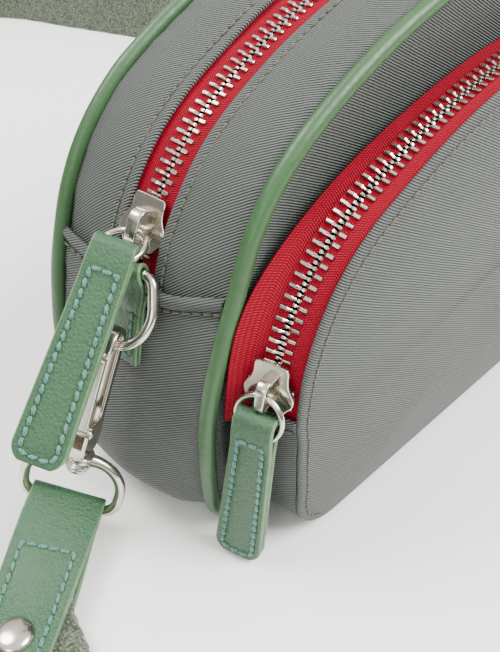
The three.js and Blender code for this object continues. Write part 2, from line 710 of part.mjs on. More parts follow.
/** Snap hook on the D-ring's wire with its gate, swivel bow and strap end. */
function addHook(name, side, wire, barCentre, strapWay) {
  const outer = HOOK.width / 2;
  const inner = outer - HOOK.wall;
  const shift = side * (inner - D_RING.wire - GAP - HOOK.slack);
  const across = new THREE.Vector3(side * HOOK.across[0], HOOK.across[1], HOOK.across[2]);
  const hang = barCentre.clone().sub(wire).setX(barCentre.x - wire.x - shift).normalize();
  const hook = groupAt(hangingFrame(wire, hang, across));
  const gateLow = -HOOK.gateHinge + 3;
  const spine = [
    ...arcPoints(0, 0, outer, 200, 0, 12),
    [outer, -HOOK.base + 2], [outer - 2, -HOOK.base], [2 - outer, -HOOK.base], [-outer, -HOOK.base + 2],
    [-outer, gateLow], [inner, gateLow],
    ...arcPoints(0, 0, inner, 0, 200, 12),
  ];
  const turned = spine.map(([x, z]) => [-side * x, z]);
  const swivel = BOW.boss + 2 * GAP;
  const post = rod(HOOK.postRadius, -HOOK.base - swivel - 1, -HOOK.base + 1);
  const head = rod(HOOK.headRadius, -HOOK.base - swivel - HOOK.headHeight, -HOOK.base - swivel);
  const body = join(slab(turned, HOOK.thickness), post, head).translate(shift, 0, 0);
  place(`snap_hook_${name}`, body, steel, hook);

  const gateX = shift + side * (inner + HOOK.wall / 2);
  const gateTop = -outer * Math.sin(THREE.MathUtils.degToRad(20)) - 0.8;
  const gatePivot = gateLow + GAP + HOOK.wall / 2;
  const gateHeight = gateTop - gateLow - GAP;
  const gateGroup = groupAt(new THREE.Matrix4().makeTranslation(gateX, 0, gatePivot).premultiply(hook.matrix));
  const gate = block(HOOK.wall, HOOK.thickness - 1, gateHeight, 0, 0, (gateHeight - HOOK.wall) / 2);
  place(`hook_gate_${name}`, gate, steel, gateGroup);

  const swivelAt = new THREE.Vector3(shift, 0, -HOOK.base - swivel / 2).applyMatrix4(hook.matrix);
  const bar = new THREE.Vector3().crossVectors(hang, strapWay).normalize();
  const bow = groupAt(hangingFrame(swivelAt, hang, bar));
  place(`swivel_bow_${name}`, swivelBow(swivelAt.distanceTo(barCentre)), steel, bow);
  return addStrapEnd(name, barCentre, bar, strapWay);
}

/** A round bar on the local Z axis. */
function rod(radius, low, high, sides = 16) {
  return new THREE.CylinderGeometry(radius, radius, high - low, sides)
    .rotateX(Math.PI / 2).translate(0, 0, (low + high) / 2);
}

/** Oval ring with a bored boss in its upper bar, which is at the origin. */
function swivelBow(reach) {
  const across = BOW.width / 2 - BOW.corner;
  const path = [
    ...arcPoints(across, -BOW.corner, BOW.corner, 90, 0, 4),
    ...arcPoints(across, BOW.corner - reach, BOW.corner, 0, -90, 4),
    ...arcPoints(-across, BOW.corner - reach, BOW.corner, -90, -180, 4),
    ...arcPoints(-across, -BOW.corner, BOW.corner, 180, 90, 4),
  ];
  const boss = rod(BOW.bossRadius, -BOW.boss / 2, BOW.boss / 2, 18);
  const bore = rod(HOOK.postRadius + GAP, -BOW.boss, BOW.boss);
  return cut(join(wireLoop(path, BOW.wire), boss), bore);
}

/** Leather folded round the bow, the webbing sewn into it and the rivet through both. */
function addStrapEnd(name, barCentre, bar, way) {
  const layer = STRAP_END.leather;
  const legOffset = (WEBBING.thickness + layer) / 2 + 1.5 * GAP;
  const floorWay = way.clone().setZ(0).normalize();
  const floorBar = new THREE.Vector3().crossVectors(UP, floorWay);
  if (floorBar.dot(bar) < 0) floorBar.negate();
  const restHeight = legOffset + layer / 2 + RIVET.backHeight + 2 * GAP;
  const across = (distance) => bar.clone()
    .lerp(floorBar, THREE.MathUtils.smoothstep(distance, 0, 0.8 * STRAP_END.rivet)).normalize();
  const centreAt = (distance) => {
    const fallen = THREE.MathUtils.smoothstep(distance, 0, STRAP_END.rivet - 5);
    return barCentre.clone().addScaledVector(floorWay, distance)
      .setZ(THREE.MathUtils.lerp(barCentre.z, restHeight, fallen));
  };
  const normalAt = (distance) => {
    const ahead = centreAt(distance + 1).sub(centreAt(distance - 1));
    const normal = new THREE.Vector3().crossVectors(ahead, across(distance)).normalize();
    return normal.z < 0 ? normal.negate() : normal;
  };
  const leg = (side) => [6, 12, 20, 30, 37, STRAP_END.length].map((distance) => ({
    point: centreAt(distance).addScaledVector(normalAt(distance), side * legOffset),
    across: across(distance),
    width: STRAP_END.width,
  }));
  const bend = BOW.wire + GAP + layer / 2;
  const forward = new THREE.Vector3().crossVectors(bar, normalAt(0));
  if (forward.dot(floorWay) < 0) forward.negate();
  const fold = arcPoints(0, 0, bend, 70, 290, 9).map(([x, z]) => ({
    point: barCentre.clone().addScaledVector(forward, x).addScaledVector(normalAt(0), z),
    across: bar,
    width: STRAP_END.width,
  }));
  const rivetAt = centreAt(STRAP_END.rivet);
  const hole = rod(RIVET.postRadius + GAP, -20, 20, 12).translate(rivetAt.x, rivetAt.y, rivetAt.z);
  const strapEnd = groupAt(hangingFrame(barCentre, way, bar));
  const toEnd = strapEnd.matrix.clone().invert();
  const addPiece = (kind, geometry, material) =>
    place(`strap_${kind}_${name}`, geometry.applyMatrix4(toEnd), material, strapEnd);
  addPiece('end', cut(ribbon([...leg(1).toReversed(), ...fold, ...leg(-1)], layer), hole), leather);

  const stubEnd = STRAP_END.length + WEBBING.stubOut;
  const stub = [WEBBING.stubFrom, 31, 35, 39, 43, 47, stubEnd].map((distance) => ({
    point: centreAt(distance),
    across: across(distance),
    width: THREE.MathUtils.lerp(STRAP_END.width - 1, WEBBING.width,
      THREE.MathUtils.smoothstep(distance, WEBBING.stubFrom, STRAP_END.rivet + 4)),
  }));
  addPiece('stub', cut(ribbon(stub, WEBBING.thickness), hole), woven);

  const face = legOffset + layer / 2 + GAP;
  const dome = [[0, 0], [1, 0], [1, 0.3], [0.75, 0.76], [0.4, 1], [0, 1]]
    .map(([x, z]) => new THREE.Vector2(x * RIVET.capRadius, z * RIVET.capHeight));
  const cap = new THREE.LatheGeometry(dome, 20).rotateX(Math.PI / 2).translate(0, 0, face);
  const back = rod(RIVET.capRadius - 1, -face - RIVET.backHeight, -face);
  const shaft = rod(RIVET.postRadius, -face - RIVET.backHeight / 2, face + RIVET.capHeight / 2, 12);
  addPiece('rivet', join(cap, back, shaft).translate(rivetAt.x, rivetAt.y, rivetAt.z), steel);
  return { point: centreAt(stubEnd), way: floorWay };
}

/** Webbing between the two stubs: flat where it meets them, on its edge on the rest of the floor. */
function addStrap(left, right) {
  const lead = (end) => [2 * GAP, 5, 14].map((step) => end.point.clone().addScaledVector(end.way, step).setZ(0));
  const route = STRAP_ROUTE.map(([x, y]) => new THREE.Vector3(x, y, 0));
  const points = [...lead(left), ...route, ...lead(right).toReversed()];
  const curve = new THREE.CatmullRomCurve3(points, false, 'centripetal');
  curve.arcLengthDivisions = 800;
  const length = curve.getLength();
  const adjusterAt = length - ADJUSTER.fromEnd;
  const even = Array.from({ length: ROUTE_STEPS + 1 }, (_, i) => length * i / ROUTE_STEPS);
  const near = [-24, -15, -9.5, -7.5, -5.5, -3.5, -1.8, 1.8, 3.5, 5.5, 7.5, 9.5, 15, 24]
    .map((step) => adjusterAt + step);
  const free = even.filter((distance) => Math.abs(distance - adjusterAt) > 28);
  const distances = [...free, ...near, 3, length - 3].sort((a, b) => a - b);
  const hump = ADJUSTER.thickness + WEBBING.thickness + 2 * GAP;
  const stations = distances.map((distance) => {
    const along = curve.getTangentAt(distance / length);
    const aside = new THREE.Vector3().crossVectors(UP, along).normalize();
    const fromEnd = Math.min(distance, length - distance);
    const turn = THREE.MathUtils.smoothstep(fromEnd, 6, WEBBING.twistLength) * Math.PI / 2;
    const toAdjuster = Math.abs(distance - adjusterAt);
    const over = hump * (1 - THREE.MathUtils.smoothstep(toAdjuster, 2, 9.5));
    const lift = ADJUSTER.lift * (1 - THREE.MathUtils.smoothstep(toAdjuster, 15, 70));
    const atStub = (left.point.z - WEBBING.thickness / 2 - GAP) * (1 - THREE.MathUtils.smoothstep(fromEnd, 0, 40));
    const height = WEBBING.width / 2 * Math.sin(turn) + WEBBING.thickness / 2 * Math.cos(turn) + GAP;
    return {
      point: curve.getPointAt(distance / length).addScaledVector(aside, over).setZ(height + lift + atStub),
      across: aside.clone().multiplyScalar(Math.cos(turn)).addScaledVector(UP, Math.sin(turn)),
      width: WEBBING.width,
    };
  });
  place('strap_webbing', ribbon(stations, WEBBING.thickness), woven);

  const along = curve.getTangentAt(adjusterAt / length);
  const aside = new THREE.Vector3().crossVectors(UP, along);
  const centre = curve.getPointAt(adjusterAt / length).addScaledVector(aside, hump / 2)
    .setZ(ADJUSTER.height / 2 + GAP);
  const slotLength = (ADJUSTER.length - 3 * ADJUSTER.bar) / 2;
  const slotAt = (side) => block(slotLength, 2 * ADJUSTER.thickness, ADJUSTER.slotHeight,
    side * (ADJUSTER.bar + slotLength) / 2, 0, 0);
  const frame = cut(block(ADJUSTER.length, ADJUSTER.thickness, ADJUSTER.height), slotAt(-1), slotAt(1));
  const adjuster = groupAt(new THREE.Matrix4().makeBasis(along, aside, UP).setPosition(centre));
  place('strap_adjuster', frame, steel, adjuster);
}

addShell();
addInside();
addZip('main', main, 0, ZIP.tapeHalf, seam, zipSurface);
addPocket();

const mainSliderFrame = main.frame(main.atHeight(SLIDER.mainHeight), 0, -ZIP.sink - ZIP.tapeThickness / 2);
addSlider('main', main, 0, mainSliderFrame, {
  length: 53,
  seat: 0.85,
  ringWay: new THREE.Vector3(-0.9, -0.38, -0.12),
  roundRing: 2,
  pullWay: new THREE.Vector3(-0.662, -0.158, -0.733),
  foldAxis: new THREE.Vector3(-0.505, 0.823, 0.26),
  slack: 3.2,
  swing: [-12, 40],
});

const pocketMiddle = (POCKET_REAR + POCKET_FRONT) / 2;
const pocketSliderAt = pocket.atHeight(SLIDER.pocketHeight);
const pocketSliderFrame = pocket.frame(pocketSliderAt, pocketMiddle, -0.4 - ZIP.tapeThickness / 2)
  .multiply(new THREE.Matrix4().makeRotationX(THREE.MathUtils.degToRad(POCKET_TILT.slider)));
addSlider('pocket', pocket, pocketMiddle, pocketSliderFrame, {
  length: 48.8,
  seat: 2,
  ringWay: new THREE.Vector3(-0.26, 0, -0.966),
  roundRing: 0,
  pullWay: new THREE.Vector3(-0.08, 0.05, -0.995),
  foldAxis: new THREE.Vector3(-0.31, 0.95, 0),
  slack: 5.2,
  swing: [-5, 12],
});

const leftWire = addRing('left', -1);
const rightWire = addRing('right', 1);
const leftBar = new THREE.Vector3(-135.5, 0.2, 9.5);
const rightBar = new THREE.Vector3(135.5, 0.2, 9.5);
const leftEnd = addHook('left', -1, leftWire, leftBar, new THREE.Vector3(-0.815, -0.567, -0.118));
const rightEnd = addHook('right', 1, rightWire, rightBar, new THREE.Vector3(0.25, 0.96, -0.12));
addStrap(leftEnd, rightEnd);

export default purse;
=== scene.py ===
"""Looks of a crossbody purse: twill body, leather piping and pulls, metal zips, end hardware and strap.

Shapes are worked out in millimetres, in the same frame as the part, and scaled as each mesh is made.
"""
import math

import bmesh
import bpy
import numpy as np
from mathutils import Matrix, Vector, noise


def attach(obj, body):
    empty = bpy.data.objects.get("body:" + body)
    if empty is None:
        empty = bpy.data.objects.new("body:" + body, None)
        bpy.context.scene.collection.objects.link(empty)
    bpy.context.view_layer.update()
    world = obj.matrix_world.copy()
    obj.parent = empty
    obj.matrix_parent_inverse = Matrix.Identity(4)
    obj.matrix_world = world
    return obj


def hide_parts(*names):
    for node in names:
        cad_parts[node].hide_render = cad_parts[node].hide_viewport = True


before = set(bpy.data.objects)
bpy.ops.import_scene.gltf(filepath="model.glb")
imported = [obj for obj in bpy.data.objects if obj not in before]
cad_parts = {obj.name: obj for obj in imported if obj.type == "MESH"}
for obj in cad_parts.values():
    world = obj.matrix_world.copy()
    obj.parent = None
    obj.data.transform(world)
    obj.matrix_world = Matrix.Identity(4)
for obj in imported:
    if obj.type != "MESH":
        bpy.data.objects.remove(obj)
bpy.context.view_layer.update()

MM = 0.001

# ---- Driving dimensions, in millimetres and degrees ----

GAP = 0.3
MAIN_DEPTH = 57.0
PIPING_RADIUS = 2.1
SEAM_HEIGHT = 66.0
POCKET_SEAM_HEIGHT = 43.0
POCKET_REAR = -31.5
POCKET_FRONT = -45.5
POCKET_MIDDLE = (POCKET_REAR + POCKET_FRONT) / 2
POCKET_FLARE = 2.0
WEAVE_LEAN = 10.0
WELT = {"height": 66.2, "front_rise": 5.0, "rear_rise": 1.5, "half": 26.0, "stitch_back": 3.5}
END_BULGE = 6.0
CLOTH_SEAM = {"length": 2.1, "gap": 0.6, "radius": 0.32}
PULL_SEAM = {"length": 2.0, "gap": 0.5, "radius": 0.5, "twist": 5.5, "slant": 0.3}
TAB_SEAM = {"length": 2.0, "gap": 0.5, "radius": 0.36, "twist": 5.5}
STRAP_SEAM = {"length": 2.3, "gap": 0.5, "radius": 0.5, "twist": 5.0, "slant": 0.3}
TOOTH_TOP = 1.2
PULL_INSET = 2.15
POCKET_TILT = {"low": 18.0, "high": 10.0, "slider": 15.0}
ZIP = {"opening": 6.5, "tape_half": 12.0, "sink": 1.2, "tape": 0.7, "pitch": 2.6, "tooth": 2.2}
PULL = {"top_width": 10.0, "end_width": 12.8, "leather": 1.5, "gap": 0.5, "slot": 5.2, "end_radius": 4.4}
PULL_RING = {"radius": 5.75, "wire": 0.75}
D_RING = {"width": 17.4, "drop": 16.2, "wire": 1.3, "bar_height": 68.4, "stand_off": 1.8, "aside": -0.8}
RING_TAB = {"width": 13.0, "leather": 1.1, "bottom": 46.5}
HOOK = {"width": 9.2, "thickness": 4.2, "wall": 1.8, "slack": 0.95, "hinge": 28.0, "base": 32.5, "post": 1.7}
BOW = {"width": 24.6, "wire": 1.4, "boss": 3.6, "boss_radius": 3.6}
STRAP_END = {"width": 19.2, "leather": 1.6, "length": 47.5, "rivet": 37.5}
WEBBING = {"width": 38.0, "thickness": 2.2, "stub_from": 23.0, "stub_out": 14.0, "twist": 95.0}
RIVET = {"radius": 4.7, "height": 1.7, "post": 1.3, "back": 0.8}
ADJUSTER = {"height": 46.0, "length": 27.0, "bar": 3.0, "thickness": 2.4, "lift": 4.2, "from_end": 132.0}

STRAP_ROUTE = [
    (-213, -56), (-246, -68), (-285, -62), (-322, -32), (-345, 20), (-350, 90), (-335, 165),
    (-300, 232), (-245, 285), (-175, 322), (-95, 344), (-20, 352), (30, 346), (60, 325),
    (76, 290), (94, 247), (110, 208), (126, 169), (141, 130), (150, 95),
]

Y_AXIS = np.array([0.0, 1.0, 0.0])
Z_AXIS = np.array([0.0, 0.0, 1.0])
BAG_CENTRE = np.array([0.0, 0.0, 60.0])


# ---- Small maths ----

def vec(*xyz):
    return np.array(xyz, float)


def unit(v):
    v = np.asarray(v, float)
    return v / np.linalg.norm(v, axis=-1, keepdims=True)


def lerp(a, b, t):
    return a + (b - a) * t


def smoothstep(x, low, high):
    t = np.clip((np.asarray(x, float) - low) / (high - low), 0, 1)
    return t * t * (3 - 2 * t)


def hump(x, centre, width):
    """A smooth bump of height one."""
    return np.exp(-(((x - centre) / width) ** 2))


def ripple(x, y, size, seed=0.0):
    """Smooth noise between -1 and 1, the same on every run."""
    return noise.noise(Vector((x / size, y / size, seed)))


def arc(centre, radius, start, stop, count):
    """Points of a flat arc, angles in degrees."""
    angles = np.radians(np.linspace(start, stop, count + 1))
    return [(centre[0] + radius * math.cos(a), centre[1] + radius * math.sin(a)) for a in angles]


def run_along(points):
    """Distance walked at each point of a line."""
    return np.r_[0, np.cumsum(np.linalg.norm(np.diff(points, axis=0), axis=1))]


def read_line(wanted, steps, table):
    """Rows of a table read at distances between its own."""
    return np.stack([np.interp(wanted, steps, table[:, k]) for k in range(table.shape[1])], axis=1)


class Axes:
    """An origin with X, Y and Z directions, which places local points."""

    def __init__(self, origin, x, y, z):
        self.origin = np.asarray(origin, float)
        self.rows = np.array([x, y, z], float)

    def place(self, points):
        return self.origin + np.asarray(points, float) @ self.rows

    def rolled(self, degrees):
        """The same axes turned about their own X."""
        c, s = math.cos(math.radians(degrees)), math.sin(math.radians(degrees))
        x, y, z = self.rows
        return Axes(self.origin, x, c * y + s * z, c * z - s * y)

    def moved(self, x=0.0, y=0.0, z=0.0):
        return Axes(self.place([x, y, z]), *self.rows)


def hanging(origin, way, across):
    """Axes with Z against the way a piece hangs and Y as near `across` as it can be."""
    up = -unit(way)
    side = unit(across - up * np.dot(across, up))
    return Axes(origin, np.cross(side, up), side, up)


class Outline:
    """A closed outline of tangent arcs, walked from the bottom middle to -X, up, over and back."""

    def __init__(self, half_length, widest, side_radius, shoulder_radius, top_radius, top,
                 corner_radius, bottom):
        side = (-half_length + side_radius, widest)
        crest = (0.0, top - top_radius)
        shoulder = self.inner_centre(side, side_radius, crest, top_radius, shoulder_radius)
        corner_height = bottom + corner_radius
        reach = math.sqrt((side_radius - corner_radius) ** 2 - (side[1] - corner_height) ** 2)
        corner = (side[0] - reach, corner_height)
        turns = [-math.pi / 2, self.direction(side, corner), self.direction(side, shoulder),
                 self.direction(crest, shoulder), math.pi / 2]
        centres = [corner, side, shoulder, crest]
        radii = [corner_radius, side_radius, shoulder_radius, top_radius]
        half = [(c, r, a, b) for c, r, a, b in zip(centres, radii, turns, turns[1:])]
        other = [((-c[0], c[1]), r, math.pi - b, math.pi - a) for c, r, a, b in reversed(half)]
        self.bottom = bottom
        self.arcs = half + other
        self.flat = -corner[0]
        self.lengths = [self.flat] + [r * (b - a) for _, r, a, b in self.arcs] + [self.flat]
        self.length = sum(self.lengths)
        self.shoulder = shoulder

    @staticmethod
    def inner_centre(a, radius_a, b, radius_b, radius):
        dx, dz = a[0] - b[0], a[1] - b[1]
        apart = math.hypot(dx, dz)
        reach = radius_b - radius
        along = (reach**2 - (radius_a - radius) ** 2 + apart**2) / (2 * apart)
        off = math.sqrt(reach**2 - along**2)
        return (b[0] + (along * dx - off * dz) / apart, b[1] + (along * dz + off * dx) / apart)

    @staticmethod
    def direction(start, to):
        return math.atan2(to[1] - start[1], start[0] - to[0])

    def at(self, distance, offset=0.0):
        """Point and outward normal in X and Z at a distance, moved out by an offset."""
        rest = min(max(distance, 0.0), self.length)
        piece = 0
        while piece < len(self.lengths) - 1 and rest > self.lengths[piece]:
            rest -= self.lengths[piece]
            piece += 1
        if piece in (0, len(self.lengths) - 1):
            start = 0.0 if piece == 0 else self.flat
            return start - rest, self.bottom - offset, 0.0, -1.0
        centre, radius, start, _ = self.arcs[piece - 1]
        angle = start + rest / radius
        nx, nz = -math.cos(angle), math.sin(angle)
        return centre[0] + nx * (radius + offset), centre[1] + nz * (radius + offset), nx, nz

    def at_height(self, height):
        """Distance along the -X half at which the outline reaches a height."""
        low, high = 0.0, self.length / 2
        for _ in range(40):
            middle = (low + high) / 2
            if self.at(middle)[1] < height:
                low = middle
            else:
                high = middle
        return low

    front_draw = 0.0      # how far the front edge draws in at half height

    def point(self, distance, y, offset):
        x, z, _, _ = self.at(distance, offset)
        drawn = self.front_draw * float(smoothstep(-y, 10, 25)) * float(hump(z, 74, 20))
        return vec(x - math.copysign(drawn, x), y, z)

    def outward(self, distance):
        _, _, nx, nz = self.at(distance)
        return vec(nx, 0, nz)

    def on_side(self, distance, side):
        """The distance from the -X end, for one counted from the end on that side."""
        return distance if side < 0 else self.length - distance

    def axes(self, distance, y, offset, slope=0.0):
        """X along the outline, Y across it on a surface of that slope, Z outward."""
        outward = self.outward(distance)
        along = np.cross(Y_AXIS, outward)
        across = unit(Y_AXIS + slope * outward)
        return Axes(self.point(distance, y, offset), along, across, np.cross(along, across))


MAIN = Outline(112.0, 30.0, 131.0, 57.0, 158.0, 125.6, 14.0, 2.6)
MAIN.front_draw = 3.2
POCKET = Outline(101.5, 35.0, 135.0, 47.0, 175.0, 106.6, 16.0, 2.2)
SEAM = MAIN.at_height(SEAM_HEIGHT)
POCKET_SEAM = POCKET.at_height(POCKET_SEAM_HEIGHT)


# ---- Meshes ----

def make_piece(name, points, faces, material, body, uv=None, face_slots=None, smooth=True, outward=True):
    """A mesh piece from points in millimetres, riding on a body. `material` may be a list."""
    mesh = bpy.data.meshes.new(name)
    mesh.from_pydata((np.asarray(points, float) * MM).tolist(), [], [tuple(map(int, f)) for f in faces])
    for one in material if isinstance(material, list) else [material]:
        mesh.materials.append(one)
    if face_slots is not None:
        mesh.polygons.foreach_set("material_index", np.asarray(face_slots, np.int32))
    if uv is not None:
        layer = mesh.uv_layers.new(name="Cloth")
        corner = np.zeros(len(mesh.loops), np.int32)
        mesh.loops.foreach_get("vertex_index", corner)
        layer.data.foreach_set("uv", np.asarray(uv, np.float32)[corner].ravel())
    if outward:
        work = bmesh.new()
        work.from_mesh(mesh)
        bmesh.ops.recalc_face_normals(work, faces=work.faces)
        work.to_mesh(mesh)
        work.free()
    mesh.polygons.foreach_set("use_smooth", np.full(len(mesh.polygons), smooth))
    mesh.update()
    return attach(link(name, mesh), body)


def link(name, data):
    """A new object in the scene for a mesh, a light or a camera."""
    made = bpy.data.objects.new(name, data)
    bpy.context.scene.collection.objects.link(made)
    return made


def quads(rows, columns, wrap_rows=False, wrap_columns=False, start=0):
    """Faces of a grid of points, row by row."""
    r = np.arange(rows if wrap_rows else rows - 1)
    c = np.arange(columns if wrap_columns else columns - 1)
    r, c = (a.ravel() for a in np.meshgrid(r, c, indexing="ij"))
    below, beside = (r + 1) % rows, (c + 1) % columns
    corners = [r * columns + c, below * columns + c, below * columns + beside, r * columns + beside]
    return np.stack(corners, axis=1) + start


def shell(name, grid, thickness, uv, material, body, wrap=False, centre=BAG_CENTRE, close=False):
    """A sheet of fabric: its outer face is the grid, its thickness lies towards the centre.
    With `close`, the last column is gathered to one point, as in the middle of a panel."""
    rows, columns = grid.shape[:2]
    if wrap:
        along = np.roll(grid, -1, axis=0) - np.roll(grid, 1, axis=0)
    else:
        along = np.gradient(grid, axis=0)
    normal = unit(np.cross(along, np.gradient(grid, axis=1)) + 1e-12)
    if np.sum(normal * (grid - centre)) < 0:
        normal = -normal
    under = grid - normal * thickness
    count = rows * columns
    top = quads(rows, columns, wrap_rows=wrap)
    bottom = top[:, ::-1] + count
    faces = [*top, *bottom]
    steps = range(rows if wrap else rows - 1)
    edges = [0] if close else [0, columns - 1]
    for column in edges:
        for i in steps:
            a, b = i * columns + column, (i + 1) % rows * columns + column
            faces.append((a, b, b + count, a + count))
    points = [*grid.reshape(-1, 3), *under.reshape(-1, 3)]
    flat_uv = [*uv.reshape(-1, 2)] * 2
    if not wrap:
        for row in (0, rows - 1):
            for j in range(columns - 1):
                a, b = row * columns + j, row * columns + j + 1
                faces.append((a, b, b + count, a + count))
    if close:
        for layer, shift in ((grid, 0), (under, count)):
            middle = len(points)
            points.append(layer[:, -1].mean(axis=0))
            flat_uv.append(uv[:, -1].mean(axis=0))
            for i in steps:
                a, b = i * columns + columns - 1, (i + 1) % rows * columns + columns - 1
                faces.append((a + shift, b + shift, middle))
    return make_piece(name, points, faces, material, body, uv=flat_uv)


def sweep(points, side, section, closed=False):
    """Rings of a section, given as [along side, along normal], carried along a path."""
    points = np.asarray(points, float)
    side = np.broadcast_to(np.asarray(side, float), points.shape)
    if closed:
        along = unit(np.roll(points, -1, axis=0) - np.roll(points, 1, axis=0))
    else:
        along = unit(np.gradient(points, axis=0))
    side = unit(side - along * np.sum(side * along, axis=1, keepdims=True))
    normal = np.cross(along, side)
    section = np.asarray(section, float)
    if section.ndim == 2:
        section = np.broadcast_to(section, (len(points), *section.shape))
    return (points[:, None] + side[:, None] * section[..., :1] + normal[:, None] * section[..., 1:])


def loft(name, rings, material, body, closed=False, face_slots=None, smooth=True):
    """A solid through equal rings; `face_slots` gives each column's material."""
    rings = np.asarray(rings, float)
    rows, columns = rings.shape[:2]
    faces = [tuple(f) for f in quads(rows, columns, wrap_rows=closed, wrap_columns=True)]
    slots = None
    if face_slots is not None:
        slots = np.tile(face_slots, rows if closed else rows - 1).tolist()
    if not closed:
        faces.append(tuple(range(columns)))
        faces.append(tuple(range((rows - 1) * columns, rows * columns)))
        if slots is not None:
            slots += [max(face_slots)] * 2
    return make_piece(name, rings.reshape(-1, 3), faces, material, body, face_slots=slots, smooth=smooth)


def many(name, parts, material, body, smooth=True):
    """One mesh made of several closed lofts, given as arrays of rings."""
    points, faces = [], []
    for rings in parts:
        start = len(points)
        rows, columns = rings.shape[:2]
        faces.extend(tuple(f) for f in quads(rows, columns, wrap_columns=True, start=start))
        faces.append(tuple(range(start, start + columns)))
        faces.append(tuple(range(start + (rows - 1) * columns, start + rows * columns)))
        points.extend(rings.reshape(-1, 3))
    return make_piece(name, points, faces, material, body, smooth=smooth)


def circle(radius, sides=16):
    angles = np.linspace(0, 2 * np.pi, sides, endpoint=False)
    return np.stack([radius * np.cos(angles), radius * np.sin(angles)], axis=1)


def rounded_box(width, height, radius, steps=3):
    """A rectangle with round corners, as a closed section."""
    w, h = width / 2 - radius, height / 2 - radius
    corners = [((w, h), 0), ((-w, h), 90), ((-w, -h), 180), ((w, -h), 270)]
    return np.array([p for c, a in corners for p in arc(c, radius, a, a + 90, steps)])


def smooth_loop(points, per_span=8):
    """A closed curve through flat or spatial points."""
    points = np.asarray(points, float)
    count = len(points)
    out = []
    for i in range(count):
        a, b, c, d = (points[(i + k) % count] for k in (-1, 0, 1, 2))
        for t in np.linspace(0, 1, per_span, endpoint=False):
            out.append(0.5 * (2 * b + (c - a) * t + (2 * a - 5 * b + 4 * c - d) * t**2
                              + (3 * b - a - 3 * c + d) * t**3))
    return np.array(out)


def even_path(points, count):
    """The same line with evenly spaced points."""
    points = np.asarray(points, float)
    steps = run_along(points)
    return read_line(np.linspace(0, steps[-1], count), steps, points)


def plate(name, outline, height, axes, material, body, bevel=0.3, holes=()):
    """A flat piece in local X and Y from Z zero up, with rounded edges."""
    work = bmesh.new()
    loops = [outline, *holes]
    edges = []
    for loop in loops:
        corners = [work.verts.new((x, y, 0.0)) for x, y in loop]
        edges += [work.edges.new((a, b)) for a, b in zip(corners, corners[1:] + corners[:1])]
    bmesh.ops.triangle_fill(work, use_beauty=True, use_dissolve=False, edges=edges)
    grown = bmesh.ops.extrude_face_region(work, geom=work.faces[:])
    for item in grown["geom"]:
        if isinstance(item, bmesh.types.BMVert):
            item.co.z += height
    bmesh.ops.recalc_face_normals(work, faces=work.faces)
    bmesh.ops.dissolve_limit(work, angle_limit=0.01, verts=work.verts[:], edges=work.edges[:])
    for vert in work.verts:
        vert.co = Vector(axes.place(vert.co) * MM)
    mesh = bpy.data.meshes.new(name)
    work.to_mesh(mesh)
    work.free()
    mesh.materials.append(material)
    mesh.polygons.foreach_set("use_smooth", np.full(len(mesh.polygons), True))
    piece = link(name, mesh)
    edge = piece.modifiers.new("edge", "BEVEL")
    edge.width = bevel * MM
    edge.segments = 3
    edge.limit_method = "ANGLE"
    edge.angle_limit = math.radians(35)
    edge.harden_normals = True
    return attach(piece, body)


def cast_plate(name, outline, height, axes, material, body, bevel=0.2):
    """A flat piece inside a smooth outline, with round edges."""
    ahead = np.roll(outline, -1, axis=0) - outline
    behind = outline - np.roll(outline, 1, axis=0)
    way = unit(unit(ahead) + unit(behind))
    inward = np.stack([-way[:, 1], way[:, 0]], axis=1)
    under = [(bevel, 0), (0.3 * bevel, 0.3 * bevel), (0, bevel)]
    levels = under + [(inset, height - z) for inset, z in reversed(under)]
    rings = [axes.place([(*(point + inset * turn), z) for point, turn in zip(outline, inward)])
             for inset, z in levels]
    return loft(name, np.array(rings), material, body, smooth=False)


def stitches(name, path, normals, material, hole_shade, body, length, gap, radius, twist=0, slant=0.0):
    """Thread that shows along a path as short arched stitches, with a flat dark disc at each end as painted
    shade of the needle hole.
    """
    path = np.asarray(path, float)
    normals = np.broadcast_to(np.asarray(normals, float), path.shape)
    steps = run_along(path)
    count = max(int(round(steps[-1] / (length + gap))), 1)
    pitch = steps[-1] / count
    sides = 12 if twist else 7
    along = np.linspace(0, 1, 12 if twist else 7)
    thread, dark = [], []

    for i in range(count):
        spots = (i + 0.5 + (along - 0.5) * (1 - gap / pitch)) * pitch
        up = unit(read_line(spots, steps, normals))
        arch = np.sin(np.pi * along) ** 0.45
        centre = read_line(spots, steps, path) + up * (radius * (0.95 * arch - 0.75))[:, None]
        across = unit(np.cross(up, np.gradient(centre, axis=0)))
        centre += across * (slant * (along - 0.5))[:, None]
        size = radius * (0.45 + 0.55 * np.sin(np.pi * np.clip(along, 0.02, 0.98)) ** 0.5)
        angles = np.linspace(0, 2 * np.pi, sides, endpoint=False)
        wind = 1 + (0.2 if twist else 0.0) * np.cos(2 * angles[None] + twist * spots[:, None])
        section = np.stack([np.cos(angles) * wind, np.sin(angles) * wind], axis=2) * size[:, None, None]
        thread.append(sweep(centre, across, section))
        # Painted shade: each needle hole is a flat dark disc laid on the surface.
        pit_centre = read_line(np.array([max(i * pitch, 0.1)]), steps, path)[0] + up[0] * 0.02
        reach = unit(np.cross(across[0], up[0])) * gap * 0.55
        pit = pit_centre + reach * np.linspace(-1, 1, 5)[:, None]
        size = radius * np.array([0.15, 0.7, 0.85, 0.7, 0.15])
        flat = circle(1.0, 8) * np.array([1.0, 0.25])
        dark.append(sweep(pit, np.tile(across[0], (5, 1)), flat * size[:, None, None]))
    many(name, thread, material, body)
    many(f"{name}_holes", dark, hole_shade, body)


# ---- Materials ----

def colour(text):
    """A linear colour from its hex name."""
    channels = [int(text[i:i + 2], 16) / 255 for i in (1, 3, 5)]
    linear = [c / 12.92 if c <= 0.04045 else ((c + 0.055) / 1.055) ** 2.4 for c in channels]
    return (*linear, 1.0)


